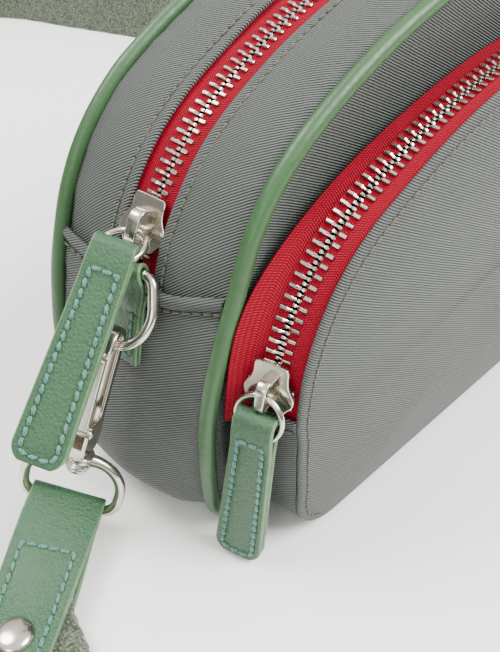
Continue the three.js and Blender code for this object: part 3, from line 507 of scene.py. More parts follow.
class Look:
    """A material with a Principled shader, and short ways to make its nodes."""

    def __init__(self, name, **values):
        self.material = bpy.data.materials.new(name)
        self.material.use_nodes = True
        self.tree = self.material.node_tree
        self.shader = self.tree.nodes["Principled BSDF"]
        for socket, value in values.items():
            self.shader.inputs[socket.replace("_", " ")].default_value = value

    def node(self, kind, *inputs, output=0, **settings):
        made = self.tree.nodes.new(kind)
        for key, value in settings.items():
            setattr(made, key, value)
        for key, value in inputs:
            if isinstance(value, bpy.types.NodeSocket):
                self.tree.links.new(value, made.inputs[key])
            else:
                made.inputs[key].default_value = value
        return made.outputs[output]

    def cloth(self):
        """Coordinates in millimetres that follow the fabric."""
        return self.node("ShaderNodeUVMap", uv_map="Cloth")

    def solid(self):
        """Coordinates in millimetres that follow the piece."""
        place = self.node("ShaderNodeTexCoord", output=3)
        return self.node("ShaderNodeVectorMath", (0, place), (1, (1 / MM,) * 3), operation="MULTIPLY")

    def maths(self, operation, a, b=0.0, clamp=False):
        return self.node("ShaderNodeMath", (0, a), (1, b), operation=operation, use_clamp=clamp)

    def bands(self, place, period, degrees=0.0, waver=0.0, waver_size=1.0):
        """Soft lines of that period, square to a direction turned from X."""
        turn = (0, 0, math.radians(degrees))
        turned = self.node("ShaderNodeMapping", ("Vector", place), ("Rotation", turn))
        period_at_one = 2 * math.pi / 20
        return self.node(
            "ShaderNodeTexWave", ("Vector", turned), ("Scale", period_at_one / period), ("Distortion", waver),
            ("Detail Scale", waver_size), output=1, wave_type="BANDS", bands_direction="X")

    def noise(self, place, size, detail=3.0):
        return self.node("ShaderNodeTexNoise", ("Vector", place), ("Scale", 1 / size), ("Detail", detail))

    def cells(self, place, size):
        return self.node("ShaderNodeTexVoronoi", ("Vector", place), ("Scale", 1 / size),
                         feature="SMOOTH_F1")

    def mix(self, factor, a, b, blend="MIX"):
        pairs = [(0, factor), (6, a), (7, b)]
        return self.node("ShaderNodeMix", *pairs, output=2, data_type="RGBA", blend_type=blend)

    def span(self, value, low, high, to_low, to_high):
        return self.node("ShaderNodeMapRange", ("Value", value), ("From Min", low), ("From Max", high),
                         ("To Min", to_low), ("To Max", to_high))

    def paint(self, value):
        self.tree.links.new(value, self.shader.inputs["Base Color"])

    def gloss(self, value):
        self.tree.links.new(value, self.shader.inputs["Roughness"])

    def relief(self, height, depth, under=None):
        """Bump of a depth in millimetres; returns its normal for another on top."""
        inputs = [("Height", height), ("Distance", depth * MM), ("Strength", 1.0)]
        if under is not None:
            inputs.append(("Normal", under))
        normal = self.node("ShaderNodeBump", *inputs)
        self.tree.links.new(normal, self.shader.inputs["Normal"])
        return normal


def twill_look():
    """Grey nylon twill: fine slanting ribs, each made of short yarns, with a satin sheen and painted shade in
    the grooves between ribs.
    """
    look = Look("twill", Roughness=0.5, Specular_IOR_Level=0.42, Sheen_Weight=0.06, Sheen_Roughness=0.4)
    place = look.cloth()
    ribs = look.bands(place, 0.62, -120, waver=0.4, waver_size=0.6)
    yarns = look.bands(place, 0.4, -30, waver=0.7, waver_size=1.2)
    patch = look.noise(place, 9.0)
    height = look.maths("MULTIPLY", ribs, look.span(yarns, 0, 1, 0.78, 1))
    # Painted shade and light: the colour follows the rib height, dark in the grooves and light on the ridges.
    base = look.mix(look.span(height, 0.08, 0.8, 0, 1), colour("#181c1a"), colour("#636863"))
    look.paint(look.mix(look.span(patch, 0.3, 0.7, 0, 0.1), base, colour("#585b55")))
    look.gloss(look.span(height, 0, 1, 0.68, 0.43))
    fuzz = look.relief(look.noise(place, 0.35, 2), 0.03)
    look.relief(height, 0.26, fuzz)
    return look.material


def leather_look(name, light, dark, grain, depth, roughness):
    """Grained leather: rounded pebbles with creases between them, painted darker as shade, and a soft sheen.
    """
    look = Look(name, Specular_IOR_Level=0.45, Coat_Weight=0.08, Coat_Roughness=0.35)
    place = look.solid()
    bent = look.node("ShaderNodeMixRGB", ("Fac", 0.35), ("Color1", place),
                     ("Color2", look.node("ShaderNodeTexNoise", ("Vector", place), ("Scale", 0.8), output=1)))
    pebbles = look.cells(bent, grain)
    fine = look.noise(place, grain * 0.35, 4)
    cloud = look.noise(place, 24.0)
    base = look.mix(look.span(cloud, 0.3, 0.7, 0, 1), colour(light), colour(dark))
    # Painted shade: the creases between pebbles are mixed toward a dark green.
    look.paint(look.mix(look.span(pebbles, 0.35, 0.8, 0, 0.35), base, colour("#213f25")))
    look.gloss(look.span(pebbles, 0, 0.8, roughness, roughness + 0.16))
    under = look.relief(fine, depth * 0.35)
    look.relief(look.span(pebbles, 0, 0.8, 1, 0), depth, under)
    return look.material


def edge_look():
    """Painted leather edge, a little lighter than the face, with small unevenness."""
    look = Look("painted_edge", Roughness=0.42, Specular_IOR_Level=0.5)
    place = look.solid()
    patch = look.noise(place, 1.6, 5)
    look.paint(look.mix(look.span(patch, 0.3, 0.7, 0, 1), colour("#5a7a54"), colour("#476642")))
    look.relief(patch, 0.12)
    return look.material


def thread_look(name, light, dark):
    """Twisted sewing thread with fine fibres, painted darker between the fibres as shade."""
    look = Look(name, Roughness=0.55, Sheen_Weight=0.25, Sheen_Roughness=0.4)
    place = look.solid()
    fibre = look.bands(place, 0.28, 35, waver=1.5, waver_size=2)
    # Painted shade and light: dark in the dips between fibres, light on the fibres.
    look.paint(look.mix(look.span(fibre, 0.15, 0.85, 0, 1), colour(dark), colour(light)))
    look.relief(fibre, 0.06)
    return look.material


def hole_shade_look(name, dark, light):
    """Painted shade of a needle hole: a flat dark disc where the thread goes in."""
    look = Look(name, Roughness=0.9)
    shade = look.noise(look.solid(), 0.4)
    look.paint(look.mix(shade, colour(dark), colour(light)))
    return look.material


def tape_look():
    """Crimson zip tape: herringbone weave, its raised crossing yarns painted lighter and the dips between
    yarns darker, as painted light and shade.
    """
    look = Look("zip_tape", Roughness=0.7, Specular_IOR_Level=0.15)
    place = look.cloth()
    parts = look.node("ShaderNodeSeparateXYZ", (0, place))
    down = parts.node.outputs[1]
    zig = look.maths("PINGPONG", parts, 2.6)
    slanted = look.maths("ADD", look.maths("MULTIPLY", zig, 0.6), down)
    bent = look.node("ShaderNodeCombineXYZ", (0, slanted), (1, parts))
    lines = look.bands(bent, 0.62, 0, waver=1.3, waver_size=1.4)
    picks = look.bands(place, 0.62, 0, waver=0.8, waver_size=1.0)
    height = look.maths("MULTIPLY", lines, look.span(picks, 0, 1, 0.35, 1))
    # Painted light and shade: the colour follows the weave height, light where yarns rise, dark where they
    # dip.
    base = look.mix(look.span(height, 0.1, 0.9, 0, 1), colour("#680014"), colour("#b00026"))
    look.paint(look.mix(look.span(look.noise(place, 5), 0.35, 0.7, 0, 0.2), base, colour("#780018")))
    look.relief(height, 0.2)
    return look.material


def webbing_look():
    """Coarse sage webbing in a herringbone of thick yarns, painted darker where the yarns dip, as shade."""
    look = Look("webbing", Roughness=0.85, Specular_IOR_Level=0.2, Sheen_Weight=0.3, Sheen_Roughness=0.5)
    place = look.cloth()
    parts = look.node("ShaderNodeSeparateXYZ", (0, place))
    along = parts.node.outputs[1]
    zig = look.maths("PINGPONG", parts, 2.0)
    slanted = look.maths("ADD", zig, along)
    bent = look.node("ShaderNodeCombineXYZ", (0, slanted), (1, parts))
    yarns = look.bands(bent, 1.3, 0, waver=7.0, waver_size=2.4)
    tufts = look.span(look.cells(place, 0.85), 0, 0.75, 1, 0)
    height = look.maths("MULTIPLY", look.span(yarns, 0, 1, 0.35, 1), look.span(tufts, 0, 1, 0.05, 1))
    # Painted shade and light: the colour follows the yarn height, dark in the dips and light on the yarns.
    base = look.mix(look.span(height, 0.1, 0.75, 0, 1), colour("#2c3426"), colour("#75826a"))
    look.paint(look.mix(look.span(look.noise(place, 0.5, 4), 0.35, 0.75, 0, 0.3), base, colour("#55614b")))
    under = look.relief(look.noise(place, 0.3, 3), 0.15)
    look.relief(height, 0.8, under)
    return look.material


def metal_look(name, light, roughness, depth, size):
    """Polished plated metal with faint waviness and handling marks."""
    look = Look(name, Metallic=1.0)
    place = look.solid()
    smear = look.noise(place, size, 4)
    look.paint(look.mix(look.span(smear, 0.3, 0.7, 0, 1), colour(light), colour("#bdb6aa")))
    look.gloss(look.span(smear, 0.3, 0.7, roughness, roughness + 0.08))
    look.relief(smear, depth)
    return look.material


def lining_look():
    """Plain dark lining cloth, its weave painted darker where it dips, as shade."""
    look = Look("lining_cloth", Roughness=0.8, Sheen_Weight=0.1)
    place = look.solid()
    weave = look.maths("MULTIPLY", look.bands(place, 0.5, 45), look.bands(place, 0.5, -45))
    # Painted shade: the weave is darker where it dips.
    look.paint(look.mix(weave, colour("#555753"), colour("#767873")))
    look.relief(weave, 0.08)
    return look.material


def floor_look():
    """Pale matt tabletop."""
    look = Look("tabletop", Roughness=0.75, Specular_IOR_Level=0.2)
    patch = look.noise(look.solid(), 60.0)
    look.paint(look.mix(patch, colour("#f3f2f0"), colour("#f6f5f3")))
    return look.material


TWILL = twill_look()
PIPING_LEATHER = leather_look("piping_leather", "#33562f", "#2f502b", 1.0, 0.05, 0.36)
LEATHER = leather_look("grained_leather", "#2f5535", "#2b4f31", 0.46, 0.2, 0.38)
EDGE = edge_look()
TEAL = thread_look("teal_thread", "#649b8d", "#173c36")
OLIVE = thread_look("olive_thread", "#5e6046", "#2f3224")
# Needle holes: painted shade, drawn as dark discs.
HOLE_SHADE = hole_shade_look("needle_hole_shade", "#1c201c", "#2b2f2a")
LEATHER_HOLE_SHADE = hole_shade_look("leather_needle_hole_shade", "#203521", "#2e4a2f")
TAPE = tape_look()
WOVEN = webbing_look()
METAL = metal_look("polished_metal", "#d6cfc3", 0.15, 0.004, 4.0)
SATIN = metal_look("satin_metal", "#dcd8d0", 0.36, 0.05, 0.5)
LINING = lining_look()


# ---- Floor, lights and camera, in metres and degrees ----

FLOOR_HALF = 4.0
CAMERA = {"place": (-0.2053, -0.1343, 0.188), "azimuth": -45.6, "elevation": 39.7, "lens": 48.04}
SKY = {"horizon": 0.05, "overhead": 1.75}
LIGHTS = {
    "key": {"place": (0.3, -0.7, 0.95), "target": (-0.05, -0.02, 0.06), "size": 0.7, "power": 28},
    "top": {"place": (-0.35, 0.5, 1.0), "target": (-0.05, 0, 0.06), "size": 0.6, "power": 15},
    "side": {"place": (-0.95, -0.35, 0.5), "target": (-0.1, 0, 0.05), "size": 0.5, "power": 3},
}


def add_stage():
    half = FLOOR_HALF
    mesh = bpy.data.meshes.new("tabletop")
    corners = [(-half, -half, 0), (half, -half, 0), (half, half, 0), (-half, half, 0)]
    mesh.from_pydata(corners, [], [(0, 1, 2, 3)])
    mesh.materials.append(floor_look())
    link("tabletop", mesh)


def add_light(name, place, target, size, power):
    light = bpy.data.lights.new(name, "AREA")
    light.shape = "DISK"
    light.size = size
    light.energy = power
    lamp = link(name, light)
    lamp.location = place
    lamp.rotation_mode = "QUATERNION"
    lamp.rotation_quaternion = (Vector(target) - Vector(place)).to_track_quat("-Z", "Y")


def add_world(low, high):
    """A studio that is dim at the horizon and bright overhead, so that metal has something to reflect."""
    world = bpy.data.worlds.new("studio")
    world.use_nodes = True
    tree = world.node_tree
    place = tree.nodes.new("ShaderNodeTexCoord")
    parts = tree.nodes.new("ShaderNodeSeparateXYZ")
    ramp = tree.nodes.new("ShaderNodeMapRange")
    ramp.interpolation_type = "SMOOTHSTEP"
    ramp.inputs["From Min"].default_value = -0.1
    ramp.inputs["From Max"].default_value = 0.9
    ramp.inputs["To Min"].default_value = low
    ramp.inputs["To Max"].default_value = high
    backdrop = tree.nodes["Background"]
    backdrop.inputs["Color"].default_value = colour("#f4f4f4")
    tree.links.new(place.outputs["Generated"], parts.inputs[0])
    tree.links.new(parts.outputs["Z"], ramp.inputs["Value"])
    tree.links.new(ramp.outputs[0], backdrop.inputs["Strength"])
    bpy.context.scene.world = world


def add_camera():
    azimuth, elevation = math.radians(CAMERA["azimuth"]), math.radians(CAMERA["elevation"])
    back = Vector((math.sin(azimuth) * math.cos(elevation), -math.cos(azimuth) * math.cos(elevation),
                   math.sin(elevation)))
    data = bpy.data.cameras.new("camera")
    data.lens = CAMERA["lens"]
    data.sensor_width = 36.0
    data.clip_start = 0.005
    camera = link("camera", data)
    camera.location = CAMERA["place"]
    camera.rotation_mode = "QUATERNION"
    camera.rotation_quaternion = (-back).to_track_quat("-Z", "Y")
    bpy.context.scene.camera = camera


add_camera()
add_stage()
add_world(SKY["horizon"], SKY["overhead"])
for light_name, values in LIGHTS.items():
    add_light(light_name, **values)


# ---- Hardware chain at each end, which also says where the strap starts ----

def gusset_rise(distance, y):
    """How far the gusset stands out from the pipings' centreline."""
    edge = MAIN_DEPTH / 2 - PIPING_RADIUS
    low = 1 - float(smoothstep(MAIN.at(distance)[1], 3, 40))
    middle = lerp(0.5, MAIN.bottom, low)
    flat_half = lerp(edge / 2, edge - 8, low)
    return middle * (1 - float(smoothstep(abs(y), flat_half, edge)))


class EndHardware:
    """Axes and points of the ring, hook, bow and strap end on one side."""

    def __init__(self, side, bar_centre, strap_way):
        self.side = side
        self.name = "left" if side < 0 else "right"
        distance = MAIN.at_height(D_RING["bar_height"])
        self.along = MAIN.on_side(distance, side)
        self.surface = gusset_rise(distance, 0) + 0.2 + GAP
        outer = D_RING["wire"] + GAP + RING_TAB["leather"]
        stand_off = self.surface + outer + D_RING["stand_off"]
        self.ring_bar = MAIN.point(self.along, D_RING["aside"], stand_off)
        lowest = vec(side * 118.3, -7.4, 57.0)
        self.ring = hanging(self.ring_bar, unit(lowest - self.ring_bar), vec(side * 0.37, 0.92, -0.13))
        half = D_RING["width"] / 2
        contact = math.radians(18)
        low = half - D_RING["drop"]
        wire = self.ring.place([0, half * math.sin(contact), low - half * math.cos(contact)])

        inner = HOOK["width"] / 2 - HOOK["wall"]
        self.shift = side * (inner - D_RING["wire"] - GAP - HOOK["slack"])
        fall = bar_centre - wire
        fall[0] -= self.shift
        self.hook = hanging(wire, unit(fall), vec(side * 0.45, 0.88, 0.05))
        self.swivel = BOW["boss"] + 2 * GAP
        swivel_at = self.hook.place([self.shift, 0, -HOOK["base"] - self.swivel / 2])
        self.bar = unit(np.cross(unit(fall), strap_way))
        self.bow = hanging(swivel_at, unit(fall), self.bar)
        self.reach = float(np.linalg.norm(swivel_at - bar_centre))
        self.centre, self.way = bar_centre, strap_way
        self.floor_way = unit(strap_way * vec(1, 1, 0))
        self.floor_bar = np.cross(Z_AXIS, self.floor_way)
        if np.dot(self.floor_bar, self.bar) < 0:
            self.floor_bar = -self.floor_bar
        self.leg = (WEBBING["thickness"] + STRAP_END["leather"]) / 2 + 1.5 * GAP
        self.rest = self.leg + STRAP_END["leather"] / 2 + RIVET["back"] + 2 * GAP

    def strap_across(self, distance):
        turn = float(smoothstep(distance, 0, 0.8 * STRAP_END["rivet"]))
        return unit(lerp(self.bar, self.floor_bar, turn))

    def strap_centre(self, distance):
        fallen = float(smoothstep(distance, 0, STRAP_END["rivet"] - 5))
        point = self.centre + self.floor_way * distance
        point[2] = lerp(self.centre[2], self.rest, fallen)
        return point

    def strap_normal(self, distance):
        ahead = self.strap_centre(distance + 1) - self.strap_centre(distance - 1)
        normal = unit(np.cross(ahead, self.strap_across(distance)))
        return -normal if normal[2] < 0 else normal


LEFT = EndHardware(-1, vec(-135.5, 0.2, 9.5), vec(-0.815, -0.567, -0.118))
RIGHT = EndHardware(1, vec(135.5, 0.2, 9.5), vec(0.25, 0.96, -0.12))


# ---- Strap ----

def centripetal(points, per_span=40):
    """A centripetal Catmull-Rom curve through the points."""
    ends = [2 * points[0] - points[1], *points, 2 * points[-1] - points[-2]]
    out = []
    for a, b, c, d in zip(ends, ends[1:], ends[2:], ends[3:]):
        t0, t1, t2 = (np.linalg.norm(q - p) ** 0.5 for p, q in ((a, b), (b, c), (c, d)))
        m1 = ((b - a) / t0 - (c - a) / (t0 + t1) + (c - b) / t1) * t1
        m2 = ((c - b) / t1 - (d - b) / (t1 + t2) + (d - c) / t2) * t1
        for t in np.linspace(0, 1, per_span, endpoint=False):
            out.append((2 * t**3 - 3 * t**2 + 1) * b + (t**3 - 2 * t**2 + t) * m1
                       + (3 * t**2 - 2 * t**3) * c + (t**3 - t**2) * m2)
    return np.array([*out, points[-1]])


def webbing_profile(width, thickness, count=25):
    """Across the webbing, from one rounded edge to the other: [across, out]."""
    across = np.sin(np.linspace(-np.pi / 2, np.pi / 2, count)) * width / 2
    near_edge = np.clip(1 - (width / 2 - np.abs(across)) / 1.1, 0, 1)
    return across, thickness / 2 - (1 - np.sqrt(1 - near_edge**2 * 0.98)) * thickness / 2


def webbing_ribbon(name, points, across, widths, body):
    """A length of webbing with rounded, slightly uneven edges."""
    points, across = np.asarray(points), unit(across)
    along = unit(np.gradient(points, axis=0))
    across = unit(across - along * np.sum(across * along, axis=1, keepdims=True))
    normal = np.cross(along, across)
    run = run_along(points)
    rings, uv = [], []
    for i, width in enumerate(widths):
        side, out = webbing_profile(width + 0.35 * math.sin(run[i] * 2.2), WEBBING["thickness"])
        sides, outs = np.r_[side, side[::-1]], np.r_[out, -out[::-1]]
        rings.append(points[i] + across[i] * sides[:, None] + normal[i] * outs[:, None])
        uv.append(np.stack([sides, np.full(len(sides), run[i])], axis=1))
    rings, uv = np.array(rings), np.array(uv)
    rows, columns = rings.shape[:2]
    faces = [tuple(f) for f in quads(rows, columns, wrap_columns=True)]
    faces.append(tuple(range(columns)))
    faces.append(tuple(range((rows - 1) * columns, rows * columns)))
    return make_piece(name, rings.reshape(-1, 3), faces, WOVEN, body, uv=uv.reshape(-1, 2))


def add_strap():
    stub_end = STRAP_END["length"] + WEBBING["stub_out"]

    def lead(end):
        start = end.strap_centre(stub_end)
        return [(start + end.floor_way * step) * vec(1, 1, 0) for step in (2 * GAP, 5, 14)]

    route = [vec(x, y, 0) for x, y in STRAP_ROUTE]
    line = centripetal([*lead(LEFT), *route, *reversed(lead(RIGHT))])
    steps = run_along(line)
    length = steps[-1]
    adjuster_at = length - ADJUSTER["from_end"]
    distances = np.linspace(0, length, 480)
    points = read_line(distances, steps, line)
    along = unit(np.gradient(points, axis=0))
    aside = unit(np.cross(Z_AXIS, along))
    from_end = np.minimum(distances, length - distances)
    turn = smoothstep(from_end, 6, WEBBING["twist"]) * np.pi / 2
    to_adjuster = np.abs(distances - adjuster_at)
    hump_height = ADJUSTER["thickness"] + WEBBING["thickness"] + 2 * GAP
    over = hump_height * (1 - smoothstep(to_adjuster, 2, 9.5))
    lift = ADJUSTER["lift"] * (1 - smoothstep(to_adjuster, 15, 70))
    stub_height = LEFT.strap_centre(stub_end)[2] - WEBBING["thickness"] / 2 - GAP
    at_stub = stub_height * (1 - smoothstep(from_end, 0, 40))
    height = WEBBING["width"] / 2 * np.sin(turn) + WEBBING["thickness"] / 2 * np.cos(turn) + GAP
    points = points + aside * over[:, None]
    points[:, 2] = height + lift + at_stub
    across = aside * np.cos(turn)[:, None] + Z_AXIS * np.sin(turn)[:, None]
    strap = webbing_ribbon("strap_band", points, across, np.full(len(points), WEBBING["width"]), "bag")
    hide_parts("strap_webbing")

    k = int(np.argmin(to_adjuster))
    centre = points[k] - aside[k] * (over[k] - hump_height / 2)
    centre[2] = ADJUSTER["height"] / 2 + GAP
    slide = Axes(centre - aside[k] * ADJUSTER["thickness"] / 2, along[k], Z_AXIS, aside[k])
    slot_length = (ADJUSTER["length"] - 3 * ADJUSTER["bar"]) / 2
    windows = [rounded_box(slot_length, 40, 1.5) + vec(s * (ADJUSTER["bar"] + slot_length) / 2, 0)
               for s in (-1, 1)]
    outer = rounded_box(ADJUSTER["length"], ADJUSTER["height"], 4)
    adjuster = plate("strap_slide", outer, ADJUSTER["thickness"], slide, METAL, "bag", 0.7, windows)
    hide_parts("strap_adjuster")


add_strap()


# ---- Body: gussets, panels and pipings ----

def main_zip_surface(_distance, _y):
    return -ZIP["sink"]


def creases(distance, y, seed):
    """Small unevenness of sewn fabric, with ripples that run out from its seams."""
    edge = MAIN_DEPTH / 2 - PIPING_RADIUS
    near_piping = float(smoothstep(abs(y), edge - 9, edge - 1))
    return 0.3 * ripple(distance, y * 1.5, 16, seed) + 0.28 * near_piping * ripple(distance, seed, 4.5, 3)


def turned_cloth(u, v, degrees):
    """Cloth coordinates turned to the way the piece was cut."""
    turn = math.radians(degrees)
    return u * math.cos(turn) + v * math.sin(turn), v * math.cos(turn) - u * math.sin(turn)


def upper_strip(name, side, node):
    """Half of the top gusset, from its fold beside the zip to the piping."""
    edge = MAIN_DEPTH / 2 - PIPING_RADIUS - GAP + 0.3
    stitch_at = ZIP["opening"] + 2.9
    fold = [(7.9, -1.7), (6.95, -1.5), (6.55, -1.0), (6.5, -0.55), (6.7, -0.1), (7.1, 0.12), (7.6, 0.22)]
    face = [(y, 0.25) for y in np.linspace(8.1, edge, 34)]
    profile = fold + face
    distances = np.linspace(SEAM - 3.0, MAIN.length - SEAM + 3.0, 560)
    grid, uv = [], []
    for d in distances:
        row = []
        for y, lift in profile:
            dip = 0.42 * float(hump(y, stitch_at, 0.75)) * (0.75 + 0.25 * math.cos(2 * math.pi * d / 2.6))
            puff = 0.75 * math.sin(math.pi * float(smoothstep(y, stitch_at, edge)))
            tuck = 0.5 * float(smoothstep(y, edge - 2.2, edge))
            from_welt = min(d, MAIN.length - d) - SEAM - (y / WELT["half"]) ** 2 * WELT["front_rise"]
            held = float(smoothstep(from_welt, -2, 12))
            offset = gusset_rise(d, y) + lift * held + puff * held - dip - tuck - 0.45 * (1 - held)
            offset += creases(d, y, 1.0 + side)
            row.append(MAIN.point(d, side * y, offset))
        grid.append(row)
        uv.append([turned_cloth(-side * y, d, WEAVE_LEAN) for y, _ in profile])
    piece = shell(name, np.array(grid), 0.5, np.array(uv), TWILL, "bag")
    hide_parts(node)
    line = [MAIN.point(d, side * stitch_at, gusset_rise(d, stitch_at) + 0.02) for d in distances]
    out = [MAIN.outward(d) for d in distances]
    stitches(f"{name}_topstitch", line, out, OLIVE, HOLE_SHADE, "bag", **CLOTH_SEAM)


def welt_height(y):
    """Height of the fold where the lower gusset covers the end of the zip."""
    rise = WELT["rear_rise"] if y > 0 else WELT["front_rise"]
    return WELT["height"] + rise * (abs(y) / WELT["half"]) ** 2


def end_bulge(height, share):
    """How far the soft end of the bag swells above the floor."""
    rise = float(smoothstep(height, -2, 12)) * (1 - float(smoothstep(height, 16, 54)))
    return END_BULGE * rise * max(math.cos(math.pi * share / 2), 0) ** 0.8


def lower_gusset():
    """The long band under the bag, folded over at each end where it meets the zip."""
    edge = MAIN_DEPTH / 2 - PIPING_RADIUS - GAP + 0.3
    ys = np.linspace(-edge, edge, 61)
    tops = [MAIN.at_height(welt_height(y)) for y in ys]
    shares = 1 - np.linspace(0, 1, 200) ** 1.15
    fold = [(-0.25, 2.1), (-0.75, 1.6), (-0.85, 0.9), (-0.6, 0.1)]
    stitch_back = WELT["stitch_back"]

    def ends(side):
        rows, coords = [], []
        for back, lift in reversed(fold):
            rows.append([(top - 0.3 - back, lift - 0.6) for top in tops])
        for share in shares[1:]:
            rows.append([(top * share, None) for top in tops])
        grid = []
        for row in rows:
            line = []
            for (distance, lift), y, top in zip(row, ys, tops):
                back = top - distance
                if lift is None:
                    welt = 1.6 * math.exp(-((back / 2.7) ** 4)) - 0.4 * float(hump(back, stitch_back, 0.8))
                    swell = 0.7 * math.cos(math.pi * y / (2 * edge)) * float(smoothstep(back, 4, 14))
                    swell *= float(smoothstep(distance, 95, 130))
                    lift = 0.2 + welt + swell + creases(distance, y, 7.0)
                else:
                    lift += 0.2
                tuck = 0.5 * float(smoothstep(abs(y), edge - 2.2, edge))
                along = MAIN.on_side(distance, side)
                floor_gap = 1.0 if distance > 80 else 0.35 * float(smoothstep(distance, 0, 60))
                offset = gusset_rise(along, y) + min(lift, 3.0) * floor_gap - tuck
                point = MAIN.point(along, y, offset)
                point[0] += side * end_bulge(point[2], y / edge)
                line.append(point)
            grid.append(line)
            coords.append([(-y, -side * d) for (d, _), y in zip(row, ys)])
        return grid, coords

    left, left_uv = ends(-1)
    right, right_uv = ends(1)
    grid = np.array([*left, *right[:-1][::-1]])
    uv = np.array([*left_uv, *right_uv[:-1][::-1]])
    grid[..., 2] = np.maximum(grid[..., 2], 0.02)
    piece = shell("lower_gusset_cloth", grid, 0.6, uv, TWILL, "bag")
    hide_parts("lower_gusset")
    for side, name in ((-1, "left"), (1, "right")):
        line, out = [], []
        for y, top in zip(ys, tops):
            d = MAIN.on_side(top - stitch_back, side)
            line.append(MAIN.point(d, y, gusset_rise(d, y) + 0.65))
            out.append(MAIN.outward(d))
        stitches(f"welt_stitch_{name}", line, out, OLIVE, HOLE_SHADE, "bag", **CLOTH_SEAM)


def ring_of(outline, count, closed=True):
    return np.linspace(0, outline.length, count, endpoint=not closed)


def panel_piece(name, node, outline, middle, depth, side, edge_rows):
    """A padded panel: rows at its edge, then its face drawn in to its middle."""
    distances = ring_of(outline, 420)
    inner = np.linspace(0.04, 0.93, 34)
    grid, uv = [], []
    for d in distances:
        row = [outline.point(d, y, offset) for y, offset in edge_rows(d)]
        last = row[-1]
        for w in inner:
            flat = lerp(last, middle, w)
            crown = depth(w, flat[0], flat[2])
            row.append(vec(flat[0], last[1] + side * crown, flat[2]))
        grid.append(row)
        uv.append([(p[0], -p[2]) for p in row])
    piece = shell(name, np.array(grid), 0.7, np.array(uv), TWILL, "bag", wrap=True, close=True)
    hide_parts(node)
    return piece


def add_panels():
    inside = PIPING_RADIUS + GAP
    rear_y, front_y = MAIN_DEPTH / 2, -MAIN_DEPTH / 2

    def rear_depth(w, x, z):
        swell = 4.2 * (1 - (1 - min(w * 1.6, 1)) ** 2.2)
        broad = 0.9 * ripple(x, z, 46, 5.0) * min(w * 4, 1)
        return swell + broad + 0.25 * ripple(x, z, 12, 6.0) * min(w * 8, 1)

    def rear_edge(_d):
        return [(rear_y - 1.2, -inside + 0.6), (rear_y - 0.4, -inside), (rear_y + 0.1, -inside - 0.8)]

    rear = panel_piece("rear_cloth", "rear_panel", MAIN, vec(0, rear_y, 62), rear_depth, 1, rear_edge)

    def front_depth(w, x, z):
        return -1.2 * (1 - math.exp(-w * 14)) + 0.5 * ripple(x, z, 22, 8.0) * min(w * 8, 1)

    def front_edge(_d):
        return [(front_y + 1.2, -inside + 0.6), (front_y + 0.2, -inside), (front_y - 0.2, -inside - 0.8)]

    panel_piece("front_cloth", "front_panel", MAIN, vec(0, front_y, 62), front_depth, -1, front_edge)

    fold_y = POCKET_FRONT - GAP

    def pocket_edge(d):
        spread = pocket_spread(d, POCKET_FRONT)
        proud = pocket_proud(d)
        fold = [(0.5, -0.9), (0.1, -0.15), (-0.55, 0.05), (-1.15, -0.25), (-1.5, -0.85)]
        return [(fold_y + y + 0.6 * proud, spread + proud + offset) for y, offset in fold]

    def pocket_depth(w, x, z):
        swell = 2.3 * (1 - (1 - min(w * 1.7, 1)) ** 2.4)
        stitch_dip = 0.35 * float(hump(w * 60, 1.5, 0.9))
        soft = 0.8 * ripple(x, z, 52, 11.0) + 0.3 * ripple(x, z, 17, 12.0)
        return swell - stitch_dip + soft * min(w * 6, 1)

    front = panel_piece("pocket_cloth", "pocket_panel", POCKET, vec(0, fold_y - 1.5, 55),
                        pocket_depth, -1, pocket_edge)


def pocket_spread(distance, y):
    """How far the pocket's edges stand from its centreline: its ends face a little forward."""
    height = POCKET.at(distance)[1]
    low = float(smoothstep(height, 3, 24))
    climb = float(smoothstep(height, 62, 90))
    over = 1 - float(smoothstep(height, 90, 104))
    tilt = math.tan(math.radians(lerp(POCKET_TILT["low"], POCKET_TILT["high"], climb)))
    edge = max((y - POCKET_MIDDLE - 5) / (POCKET_REAR - POCKET_MIDDLE - 5), 0)
    return low * over * (tilt * (y - POCKET_MIDDLE) + POCKET_FLARE * (1 - climb) * edge)


def pocket_proud(distance):
    """How far the folded edge of the pocket's face stands out beside its zip."""
    height = POCKET.at(distance)[1]
    return 0.75 * float(smoothstep(height, POCKET_SEAM_HEIGHT - 6, POCKET_SEAM_HEIGHT + 2))


def pocket_zip_surface(distance, y):
    return pocket_spread(distance, y) - 0.4


